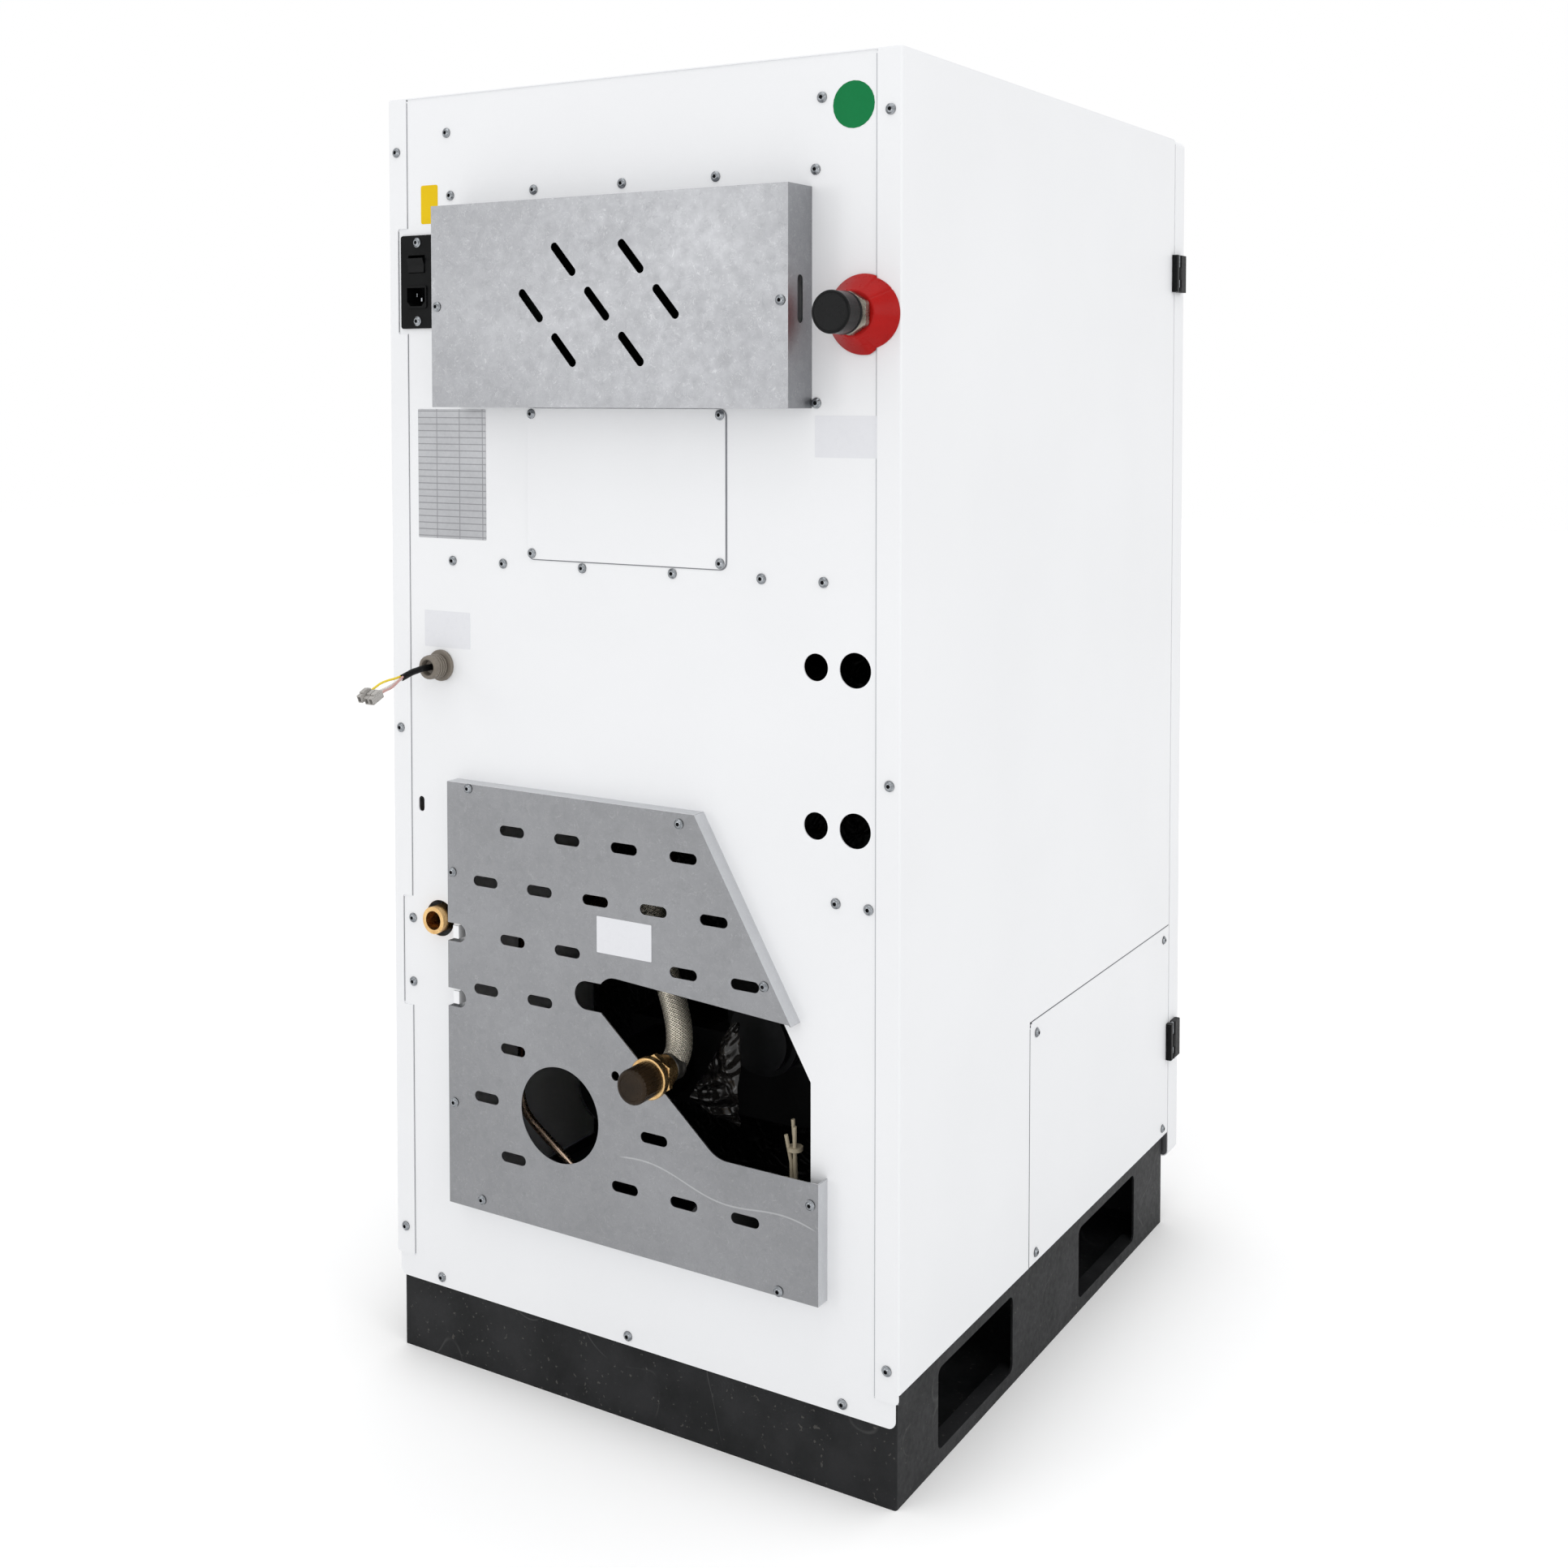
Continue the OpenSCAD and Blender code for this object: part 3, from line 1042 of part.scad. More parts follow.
// Flue gas fan: a spiral housing whose outlet leads to the flue stub.
fan_y = [lag_rear + 2, lag_rear + 76];
fan_t = 2;
outlet_x = flue_x + 46;
scroll_first = -20;
scroll_last = 270;
function scroll_r(a) = fan_r + 10 + 34 * (a - scroll_first) / (scroll_last - scroll_first);
module scroll(d) {
  low = fan_z - scroll_r(scroll_last) + d;
  high = fan_z + scroll_r(scroll_first) * sin(scroll_first) - d;
  polygon(concat(
    [for (a = [scroll_first:(scroll_last - scroll_first) / 32:scroll_last + 0.1])
      [fan_x + (scroll_r(a) - d) * cos(a), fan_z + (scroll_r(a) - d) * sin(a)]],
    [[outlet_x - d, low], [outlet_x - d, high]]));
}
module flue_fan() color("#3a3c3f") seat() {
  difference() {
    stand(fan_y[0], fan_y[1] - fan_y[0]) scroll(0);
    stand(fan_y[0] + fan_t, fan_y[1] - fan_y[0] - 2 * fan_t) scroll(fan_t);
    bar_y(fan_x, fan_y[0] - 1, fan_z, fan_inlet, 5);
    bar_y(fan_x, fan_y[1] - 4, fan_z, 16, 6);
    bar_y(flue_x, fan_y[1] - 4, flue_z, stub_d / 2 - 2, 6);
  }
  tube_y(fan_x, tank_rear, fan_z, fan_inlet + 3, fan_y[0] - tank_rear + 1, 3);
  tube_y(flue_x, fan_y[1] - 1, flue_z, stub_d / 2, -stub_back - fan_y[1] + 1, 2);
}
shaft_r = 5;
blade_y = fan_y[0] + 16;
blade_w = 38;
module fan_blade() intersection() {
  difference() {
    circle(fan_r - 2);
    circle(22);
  }
  translate([0, 62]) difference() {
    circle(52);
    circle(50);
  }
  square([fan_r, 2 * fan_r]);
}
module fan_impeller() color("#8b8e91") seat() translate([fan_x, 0, fan_z]) {
  stand(blade_y, blade_w) for (k = [0:7]) rotate(k * 45) fan_blade();
  bar_y(0, blade_y + blade_w - e, 0, fan_r, 2);
  bar_y(0, blade_y + 8, 0, 12, blade_w);
  bar_y(0, blade_y + 8, 0, shaft_r, fan_y[1] - blade_y + 42);
}
module fan_motor() color("#202123") seat() translate([fan_x, fan_y[1], fan_z]) difference() {
  union() {
    bar_y(0, 0, 0, 50, 4);
    bar_y(0, 3, 0, 36, 72);
    for (k = [0:6]) bar_y(0, 12 + k * 8, 0, 42, 3);
  }
  bar_y(0, -1, 0, shaft_r + running, 56);
}

// Pellet hopper, feed auger and its geared motor
hopper_foot = 1010;
hopper_bend = 1250;
spout_y = burner_y + 200;
auger_play = 2;
auger_in = auger_d / 2 + auger_play;
auger_wall = 3;
auger_z = hopper_foot - auger_in - auger_wall - 1;
auger_shaft = 9;
auger_rear = spout_y + 130;
auger_front = burner_y - 45;
spout = outlet_w / 2;
// Solid of the hopper's inside, grown by d
module hopper_solid(d) intersection() {
  stand(mouth_y - hopper_d, 2 * hopper_d) polygon([
    [-hopper_w / 2 - d, body_h + e], [hopper_w / 2 + d, body_h + e],
    [hopper_w / 2 + d, hopper_bend], [spout + d, hopper_foot],
    [-spout - d, hopper_foot], [-hopper_w / 2 - d, hopper_bend]]);
  stand_side(-hopper_w, 2 * hopper_w) polygon([
    [mouth_y - hopper_d / 2 - d, body_h + e], [mouth_y + hopper_d / 2 + d, body_h + e],
    [mouth_y + hopper_d / 2 + d, hopper_bend], [spout_y + spout + d, hopper_foot],
    [spout_y - spout - d, hopper_foot], [mouth_y - hopper_d / 2 - d, hopper_bend]]);
}
module pellet_hopper() color("#a3a7ab") seat() difference() {
  union() {
    hopper_solid(hopper_t);
    translate([0, mouth_y, body_h - sheet]) linear_extrude(sheet)
      square([hopper_w + 28, hopper_d + 28], center = true);
  }
  hopper_solid(0);
  translate([0, mouth_y, body_h - 1]) linear_extrude(4)
    square([hopper_w + 40, hopper_d + 40], center = true);
  translate([0, spout_y, hopper_foot - 1]) linear_extrude(2)
    square(2 * spout, center = true);
}
module auger_tube() color("#6c6f73") seat() difference() {
  union() {
    bar_y(0, auger_front, auger_z, auger_in + auger_wall, auger_rear - auger_front);
    translate([0, burner_y, tank_top]) cylinder(r = chute_r, h = auger_z - tank_top);
    translate([-spout - 3, spout_y - spout - 3, auger_z])
      cube([2 * spout + 6, 2 * spout + 6, hopper_foot - auger_z]);
    bar_y(0, auger_rear - 4, auger_z, auger_in + 12, 4);
  }
  bar_y(0, auger_front + 4, auger_z, auger_in, auger_rear - auger_front - 8);
  bar_y(0, auger_rear - 6, auger_z, auger_shaft + running, 8);
  translate([0, burner_y, tank_top - 1]) cylinder(r = chute_r - chute_t, h = auger_z - tank_top);
  translate([-spout, spout_y - spout, auger_z]) cube([2 * spout, 2 * spout, 60]);
}
flight_l = auger_rear - auger_front - 20;
flight_t = 2.4;
flight_steps = round(18 * flight_l / auger_lead);
// Section of the flight at step i: inner and outer corners of its front and its rear face
function flight_ring(i) =
  let (z = (flight_l - flight_t) * i / flight_steps, a = 360 * z / auger_lead,
       in = auger_shaft - 1, out = auger_d / 2, c = cos(a), s = sin(a))
  [[in * c, in * s, z], [in * c, in * s, z + flight_t], [out * c, out * s, z + flight_t],
   [out * c, out * s, z]];
module auger_screw() color("#9b9ea1") seat() translate([0, auger_front + 10, auger_z])
  rotate([-90, 0, 0]) {
    translate([0, 0, -4]) cylinder(r = auger_shaft, h = flight_l + 60);
    skin([for (i = [0:flight_steps]) flight_ring(i)], 4);
  }
gear_l = 46;
motor_r = 34;
motor_l = 62;
motor_z = auger_z + 16;
module auger_motor() color("#2c2d30") seat() difference() {
  union() {
    block(-38, 38, auger_rear, auger_rear + gear_l, auger_z - 46, auger_z + 60);
    bar_y(0, auger_rear + gear_l - 1, motor_z, motor_r, motor_l);
    for (k = [0:5]) bar_y(0, auger_rear + gear_l + 6 + k * 8, motor_z, motor_r + 4, 3);
  }
  bar_y(0, auger_rear - 1, auger_z, auger_shaft + running, gear_l + 1);
}

// Expansion vessel on the right middle rail
vessel_r = 120;
vessel_y = tank_mid;
vessel_z = lag_top + 145;
vessel_x = post_x - 2 * post_t;
module expansion_vessel() color("#a92822") seat() translate([vessel_x, vessel_y, vessel_z])
  rotate([0, -90, 0]) rotate_extrude() polygon([
    [0, 0], [12, 0], [12, 4], [60, 6], [98, 14], [114, 26], [vessel_r - 2, 34], [vessel_r, 35],
    [vessel_r, 41], [vessel_r - 2, 42], [114, 50], [98, 62], [60, 70], [12, 72], [12, 80], [0, 80]]);

// Bulkhead behind the front door
module inner_front() color("#b9bcc0") seat() stand(post_front + post_t, sheet) difference() {
  translate([-post_x + 2 * post_t + clear, post_foot])
    square([2 * (post_x - 2 * post_t - clear), post_top - post_foot]);
  translate([-205, tank_z - 10]) square([410, chamber_z[1] - tank_z + 60]);
}

// Leads from the floor pan to the probes, tied together
// Steps from where the first lead leaves the pan
lead_x = from_left(126);
lead_y = -22;
lead_paths = [[[0, 0, 120], [0, 0, 180], [0, 0, 250], [2, 2, 310], [1, 4, 348]],
              [[6, 0, 120], [6, 0, 180], [6, 0, 250], [6, 2, 310], [11, 4, 338]],
              [[3, -5, 120], [3, -5, 180], [3, -5, 250], [4, -3, 310], [7, -3, 352]]];
module sensor_leads() color("#b9a98c") seat() {
  translate([lead_x, lead_y, 0]) for (p = lead_paths) sweep(p, 2, 8);
  translate([lead_x + 3.5, lead_y - 1, 322]) cylinder(r = 8, h = 4);
}

// Screws, by the face that they lie on: x and z, from the middle of the rear
screw_r = 4.7;
screw_l = 2.6;
module screw_head() rotate([-90, 0, 0]) difference() {
  rotate_extrude($fn = 24) polygon([[0, 0], [screw_r, 0], [screw_r, 0.9], [screw_r - 0.7, 1.9],
                                    [screw_r - 2, screw_l], [0, screw_l]]);
  translate([0, 0, 1.2]) cylinder(r = 1.7, h = 3, $fn = 6);
}
panel_screws = concat(
  [for (k = [0:4]) [from_left(94) + k * (body_w - 182) / 4, under_top(108)]],
  [for (d = [-233.5, -163, -57, 57, 163, 233.5]) [d - 1.5, under_top(505)]],
  [[from_left(87), under_top(40)], [from_right(83), under_top(40)],
   [from_left(93), under_top(332)], [from_left(71), 584], [from_left(35), 583],
   [from_right(26.5), 492], [from_right(26.5), 420],
   [from_left(63), rear_foot + 10], [0, rear_foot + 10], [from_right(65), rear_foot + 10]]);
strip_screws = [[12, under_top(57)], [12, 705], [13.5, strip_foot + 31]];
guard_screws = [[guard_edge - 30, guard_foot + guard_h - 5], [from_left(242), guard_foot + guard_h - 11],
                [guard_edge - 7, 557], [from_left(142), 496], [guard_edge - 8, 303],
                [from_left(501), 203], [from_left(89), 290], [from_left(125), 196]];
plate_screws = [for (sx = [-1, 1]) for (sz = [-1, 1])
  [plate_x + sx * (plate_w / 2 - 6), plate_z + sz * (plate_h / 2 - 6)]];
module screws_at(list, y) for (p = list) translate([p[0], y, p[1]]) screw_head();
module casing_screws() color("#b7babd") seat() {
  screws_at(panel_screws, panel_y);
  for (p = strip_screws) for (s = [-1, 1]) translate([s * (half_w - p[0]), rear_y, p[1]])
    screw_head();
  screws_at(guard_screws, panel_y + guard_out);
  screws_at(plate_screws, panel_y + sheet);
  screws_at([[cover_x + cover_w / 2 - 7.5, cover_z], [cover_x - cover_w / 2 + 8.5, cover_z - 4]],
            panel_y + cover_out);
  screws_at([[inlet_x - 1, inlet_z + 43], [inlet_x - 1, inlet_z - 43]], panel_y + inlet_t);
  for (y = [access_y - 18, front_y + 21]) for (z = [plinth_h + 11, access_z - 15])
    translate([-half_w, y, z]) rotate([0, 0, 90]) screw_head();
}

plinth();
floor_pan();
frame_posts();
frame_rails();
rear_panel();
side_panel_left();
side_panel_right();
access_panel();
top_panel();
hopper_lid();
lid_hinge_leaves();
lid_hinge_straps();
lid_hinge_pins();
inner_front();
front_door();
door_inner_pan();
door_grip();
display_bezel();
display_glass();
hinge_side_leaves();
hinge_door_leaves();
hinge_pins();
electronics_cover();
control_board();
flue_guard();
inspection_plate();
power_inlet();
inlet_pins();
rocker_switch();
cable_gland();
lead_sheath();
lead_cores();
lever_connector();
flow_rosette();
flow_nut();
flow_cap();
flow_pipe();
drain_elbow();
return_hose();
hose_union();
hose_cap();
return_pump();
return_pipe();
discharge_tube();
boiler_body();
boiler_lagging();
fire_door();
fire_door_handle();
burner_pot();
ash_drawer();
flue_fan();
fan_impeller();
fan_motor();
pellet_hopper();
auger_tube();
auger_screw();
auger_motor();
expansion_vessel();
sensor_leads();
casing_screws();
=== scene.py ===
"""Looks of a floor-standing pellet boiler, seen from its rear: powder-coated casing sheets on a black
plinth, two galvanised covers, capped water connections and the parts that show through the openings."""
import json
import math

import bmesh
import bpy
from mathutils import Matrix, Vector

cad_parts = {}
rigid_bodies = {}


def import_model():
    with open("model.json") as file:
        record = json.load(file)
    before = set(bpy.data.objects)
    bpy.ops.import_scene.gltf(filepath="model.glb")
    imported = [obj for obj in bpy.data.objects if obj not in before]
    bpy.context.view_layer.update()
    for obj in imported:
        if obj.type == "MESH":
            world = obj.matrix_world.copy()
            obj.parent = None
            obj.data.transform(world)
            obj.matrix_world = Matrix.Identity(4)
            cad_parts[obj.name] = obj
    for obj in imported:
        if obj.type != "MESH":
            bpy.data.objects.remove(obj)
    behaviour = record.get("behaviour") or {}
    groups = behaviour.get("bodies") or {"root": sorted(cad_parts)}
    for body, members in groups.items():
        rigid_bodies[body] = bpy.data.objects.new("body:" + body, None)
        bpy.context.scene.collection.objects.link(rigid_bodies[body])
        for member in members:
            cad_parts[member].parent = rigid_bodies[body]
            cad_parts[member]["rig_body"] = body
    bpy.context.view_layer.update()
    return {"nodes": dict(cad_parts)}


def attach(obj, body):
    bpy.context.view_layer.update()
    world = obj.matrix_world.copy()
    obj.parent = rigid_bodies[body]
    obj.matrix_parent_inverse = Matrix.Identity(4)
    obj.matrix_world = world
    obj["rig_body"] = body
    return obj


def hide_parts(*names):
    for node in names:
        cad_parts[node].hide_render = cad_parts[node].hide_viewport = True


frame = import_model()
scene = bpy.context.scene

MM = 0.001
WELD = 2e-6  # metres; vertices closer than this are one
FLAT = 0.4  # degrees; faces bent less than this are one
SMOOTH = 32.0  # degrees; edges bent less than this are smooth
BROKEN = 30.0  # degrees; edges bent more than this are broken
ROUNDING = {"segments": 2, "profile": 0.6, "affect": "EDGES"}
# The casing is written in its own millimetres: x from its middle, with the door's hinges on the
# minus side, y out of its rear face, z up from the floor. SEAT moves it to the shared frame.
SEAT = Vector((4.0, 362.9, 0.0))
PANEL_Y = -1.5  # outer face of the rear panel
GUARD_Y = 16.5  # outer face of the lower cover


def at(x, y, z):
    """A place on the casing, in its own millimetres, as metres in the shared frame."""
    return (Vector((x, y, z)) + SEAT) * MM


def facing(direction):
    """Turn of a camera or lamp that looks along a direction."""
    return direction.to_track_quat("-Z", "Y").to_euler()


def put(name, data):
    """Puts an object in the scene."""
    thing = bpy.data.objects.new(name, data)
    scene.collection.objects.link(thing)
    return thing


# Camera: the photograph is square. Its uprights stand nearly upright though it was taken from
# above the middle, so the camera is hardly tilted and its lens is shifted down.
PHOTO_SIDE = 1932
PHOTO_LENS = 2307.8  # focal length in pixels of the photograph
CAMERA_PLACE = (-1131.3, 1561.6, 1074.3)
CAMERA_TURN = 58.957  # degrees from the rear face's own line
CAMERA_TILT = 2.259  # degrees down
LENS_SHIFT = -0.20
SENSOR = 36.0
CLIP = (0.01, 60.0)  # nearest and farthest that it sees, in metres


def place_camera():
    data = bpy.data.cameras.new("camera")
    data.sensor_width = SENSOR
    data.lens = SENSOR * PHOTO_LENS / PHOTO_SIDE
    data.shift_y = LENS_SHIFT
    data.clip_start, data.clip_end = CLIP
    turn, tilt = math.radians(CAMERA_TURN), math.radians(CAMERA_TILT)
    forward = Vector((math.cos(turn) * math.cos(tilt), -math.sin(turn) * math.cos(tilt), -math.sin(tilt)))
    camera = put("camera", data)
    camera.location = at(*CAMERA_PLACE)
    camera.rotation_euler = facing(forward)
    scene.camera = camera


# Meshes

def closed(verts, faces):
    """A solid's points and faces, with its doubles merged and its faces turned outwards."""
    shape = bmesh.new()
    made = [shape.verts.new(v) for v in verts]
    for face in faces:
        shape.faces.new([made[i] for i in face])
    bmesh.ops.remove_doubles(shape, verts=shape.verts, dist=WELD)
    bmesh.ops.recalc_face_normals(shape, faces=shape.faces)
    return harvest(shape)


def ring_faces(rings, around):
    """The faces between rings of around points each, one ring after the other."""
    return [[i * around + k, i * around + (k + 1) % around, (i + 1) * around + (k + 1) % around,
             (i + 1) * around + k] for i in range(rings - 1) for k in range(around)]


def harvest(shape):
    shape.verts.index_update()
    verts = [v.co.copy() for v in shape.verts]
    faces = [[v.index for v in f.verts] for f in shape.faces]
    shape.free()
    return verts, faces


def mesh_of(name, verts, faces):
    mesh = bpy.data.meshes.new(name)
    mesh.from_pydata(verts, [], faces)
    return mesh


def smooth_by_angle(mesh, angle):
    for face in mesh.polygons:
        face.use_smooth = True
    mesh.set_sharp_from_angle(angle=math.radians(angle))


def settle(thing):
    """Turns the result of an object's modifiers into its own plain mesh."""
    bpy.context.view_layer.update()
    graph = bpy.context.evaluated_depsgraph_get()
    mesh = bpy.data.meshes.new_from_object(thing.evaluated_get(graph))
    thing.modifiers.clear()
    thing.data = mesh
    mesh.name = thing.name


# Nodes whose sheet is more weathered than their slot's own finish
DULLER = {"flue_guard": "plain_galvanised"}


def fix(thing, slot, *nodes, body="casing", finish=None):
    """Gives a finished piece its material and its body, and hides the CAD nodes it stands for."""
    if not thing.data.materials:
        finish = finish or finish_of(DULLER.get(nodes[0], slot) if nodes else slot)
        thing.data.materials.append(finish.material)
    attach(thing, body)
    if nodes:
        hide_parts(*nodes)
    return thing


def piece(name, solids, slot, *nodes, angle=SMOOTH, flats=True, body="casing", finish=None):
    """Closed solids gathered in one mesh, smoothed by angle, with their flat faces kept flat."""
    verts, faces = [], []
    for solid_verts, solid_faces in solids:
        faces += [[i + len(verts) for i in face] for face in solid_faces]
        verts += solid_verts
    mesh = mesh_of(name, verts, faces)
    smooth_by_angle(mesh, angle)
    thing = put(name, mesh)
    if flats:
        thing.modifiers.new("flats", "WEIGHTED_NORMAL").keep_sharp = True
        settle(thing)
    return fix(thing, slot, *nodes, body=body, finish=finish)


def merged(node):
    """A working copy of a CAD node's mesh, with its loose triangles joined into whole faces."""
    shape = bmesh.new()
    source = frame["nodes"][node].data
    made = [shape.verts.new(v.co) for v in source.vertices]
    for face in source.polygons:
        shape.faces.new([made[i] for i in face.vertices])
    bmesh.ops.remove_doubles(shape, verts=shape.verts, dist=WELD)
    bmesh.ops.dissolve_limit(shape, angle_limit=math.radians(FLAT), verts=shape.verts, edges=shape.edges)
    return shape





def slot_of(node):
    return frame["nodes"][node].material_slots[0].material.name


def rounded_off(node, edge):
    """A node's own shape with its edges broken by a small round, edge mm wide."""
    shape = merged(node)
    sharp = [e for e in shape.edges
             if len(e.link_faces) == 2 and e.calc_face_angle() > math.radians(BROKEN)]
    bmesh.ops.bevel(shape, geom=sharp, offset=edge * MM, clamp_overlap=True, loop_slide=True, **ROUNDING)
    return piece("finished_" + node, [harvest(shape)], slot_of(node), node,
                 body=frame["nodes"][node]["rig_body"])


# Covers whose folds and flanks get a painted highlight, paler than their faces: how squarely such a fold
# looks backwards, as the least and the most that its normal leans on the y axis
FOLD_HIGHLIGHTS = {"flue_guard": (0, 0.9), "electronics_cover": (0.15, 0.9)}
FOLD_LENGTH = 30.0  # mm; shorter faces stay as they are


def paint_fold_highlights(cover, low, high):
    """Gives a cover's long bent faces a painted highlight: a paler copy of its sheet, picked by which way
    they face.
    """
    mesh = cover.data
    mesh.materials.append(galvanised_painted_highlight().material)
    for face in mesh.polygons:
        corners = [mesh.vertices[i].co for i in face.vertices]
        length = max((a - b).length for a in corners for b in corners)
        if low <= abs(face.normal.y) < high and length > FOLD_LENGTH * MM:
            face.material_index = 1


def box(lo, hi, edge, turn=None):
    """A block between two corners in mm, its edges broken by edge mm; turn is a matrix that turns
    and moves it."""
    shape = bmesh.new()
    bmesh.ops.create_cube(shape, size=1.0)
    middle = (Vector(lo) + Vector(hi)) / 2
    size = Vector(hi) - Vector(lo)
    for v in shape.verts:
        v.co = Vector([c * s for c, s in zip(v.co, size)]) + middle
    bmesh.ops.bevel(shape, geom=shape.edges[:], offset=edge, **ROUNDING)
    for v in shape.verts:
        v.co = at(*(turn @ v.co if turn else v.co))
    return harvest(shape)


ON_AXIS = 1e-6  # mm; an outline's point this close to its axis is on it


def turned(centre, profile, segments=96, shaper=None):
    """A closed outline of (radius, height) turned about the y axis out of centre, in mm.
    shaper(angle, radius, height) gives the radius where it differs round the axis."""
    verts, faces = [], []
    count = len(profile)
    for k in range(segments):
        angle = 2 * math.pi * k / segments
        for radius, height in profile:
            r = shaper(angle, radius, height) if shaper else radius
            verts.append(at(*(Vector(centre) + Vector((r * math.cos(angle), height, r * math.sin(angle))))))
    for k in range(segments):
        here, there = k * count, (k + 1) % segments * count
        for i in range(count):
            j = (i + 1) % count
            ring = [here + i, here + j, there + j, there + i]
            if profile[i][0] < ON_AXIS:
                ring = [here + i, here + j, there + j]
            elif profile[j][0] < ON_AXIS:
                ring = [here + i, here + j, there + i]
            if profile[i][0] > ON_AXIS or profile[j][0] > ON_AXIS:
                faces.append(ring)
    return closed(verts, faces)


def hexagon(across):
    """Shaper for a nut: its flats, across mm apart, under a round chamfer."""
    def shaper(angle, radius, height):
        flat = across / 2 / math.cos((angle + math.pi / 6) % (math.pi / 3) - math.pi / 6)
        return min(radius, flat)
    return shaper


def chamfered(radius, bore, low, high, drop=2.6):
    """Outline of a nut whose round chamfers cut its corners at both ends."""
    steps = [drop * k / 4 for k in range(5)]
    lower = [(radius - (drop - s) * 1.6, low + s * 0.8) for s in steps]
    upper = [(r, high + low - h) for r, h in reversed(lower)]
    return [(bore, low)] + lower + upper + [(bore, high)]


def rounded_plate(x, z, w, h, r, y, thick, steps=6):
    """A thin plate with round corners that lies on the face at y."""
    outline = []
    for sx, sz, start in ((1, 1, 0), (-1, 1, 90), (-1, -1, 180), (1, -1, 270)):
        for k in range(steps + 1):
            a = math.radians(start + 90 * k / steps)
            outline.append((x + sx * (w / 2 - r) + r * math.cos(a), z + sz * (h / 2 - r) + r * math.sin(a)))
    count = len(outline)
    verts = [at(px, y, pz) for px, pz in outline] + [at(px, y + thick, pz) for px, pz in outline]
    return closed(verts, [list(range(count)), list(range(count, 2 * count))] + ring_faces(2, count))


# Routes and tubes

def smooth_route(points, parts):
    """A smooth line through given points, parts steps between each two of them."""
    points = [Vector(p) for p in points]
    ends = [2 * points[0] - points[1]] + points + [2 * points[-1] - points[-2]]
    line = []
    for k in range(1, len(ends) - 2):
        a, b, c, d = ends[k - 1:k + 3]
        for i in range(parts):
            t = i / parts
            line.append(0.5 * (2 * b + (c - a) * t + (2 * a - 5 * b + 4 * c - d) * t * t
                               + (3 * b - a - 3 * c + d) * t ** 3))
    return line + [points[-1]]


def route_length(route):
    return sum((b - a).length for a, b in zip(route, route[1:]))


def resample(route, count):
    """count points at equal steps along a route."""
    total, steps, walked, k = route_length(route), [], 0.0, 0
    for i in range(count):
        goal = total * i / (count - 1)
        while k < len(route) - 2 and walked + (route[k + 1] - route[k]).length < goal:
            walked += (route[k + 1] - route[k]).length
            k += 1
        part = (goal - walked) / (route[k + 1] - route[k]).length
        steps.append(route[k].lerp(route[k + 1], min(part, 1.0)))
    return steps


def tube_along(name, route, radius, sides, rings, relief=None):
    """A closed tube mesh along a route in mm, with a UV map: around it, and mm along it.
    relief(angle, along) gives the share of the radius at a point."""
    line = resample(smooth_route(route, 8), rings)
    step = route_length(line) / (rings - 1)
    tangent = [(line[min(i + 1, rings - 1)] - line[max(i - 1, 0)]).normalized() for i in range(rings)]
    side = tangent[0].orthogonal().normalized()
    verts = []
    for i, (centre, along) in enumerate(zip(line, tangent)):
        side = (side - along * side.dot(along)).normalized()
        other = along.cross(side)
        for k in range(sides):
            angle = 2 * math.pi * k / sides
            r = radius * (relief(angle, i * step) if relief else 1.0)
            verts.append(at(*(centre + r * (math.cos(angle) * side + math.sin(angle) * other))))
    caps = [list(range(sides))[::-1], [(rings - 1) * sides + k for k in range(sides)]]
    mesh = mesh_of(name, verts, ring_faces(rings, sides) + caps)
    layer = mesh.uv_layers.new(name="lay")
    for face in mesh.polygons:
        columns = [mesh.loops[c].vertex_index % sides for c in face.loop_indices]
        for corner, column in zip(face.loop_indices, columns):
            wrap = 1.0 if column == 0 and max(columns) == sides - 1 else 0.0
            ring = mesh.loops[corner].vertex_index // sides
            layer.data[corner].uv = (column / sides + wrap, ring * step)
    smooth_by_angle(mesh, 60.0)
    return put(name, mesh), [at(*p) for p in line]


# Shader nodes

def linear(hex_code):
    """An sRGB colour such as #C0FFEE in the linear light that shaders work in."""
    channels = [int(hex_code[i:i + 2], 16) / 255 for i in (1, 3, 5)]
    return [c / 12.92 if c <= 0.04045 else ((c + 0.055) / 1.055) ** 2.4 for c in channels] + [1.0]


def feed(tree, node, inputs):
    """Sets or links a node's inputs, by name or number."""
    for key, value in inputs.items():
        if isinstance(value, bpy.types.NodeSocket):
            tree.links.new(value, node.inputs[key])
        else:
            node.inputs[key].default_value = value


def add(tree, kind, inputs=None, **settings):
    """Adds a node, sets its own settings, then sets or links its inputs."""
    made = tree.nodes.new(kind)
    for key, value in settings.items():
        setattr(made, key, value)
    feed(tree, made, inputs or {})
    return made


def emptied(owner):
    """The node tree of a material or of the surroundings, without its first nodes."""
    owner.use_nodes = True
    owner.node_tree.nodes.clear()
    return owner.node_tree


LOOKS = {"colour": "Base Color", "rough": "Roughness", "metal": "Metallic", "gloss": "Specular IOR Level",
         "coat": "Coat Weight", "normal": "Normal"}


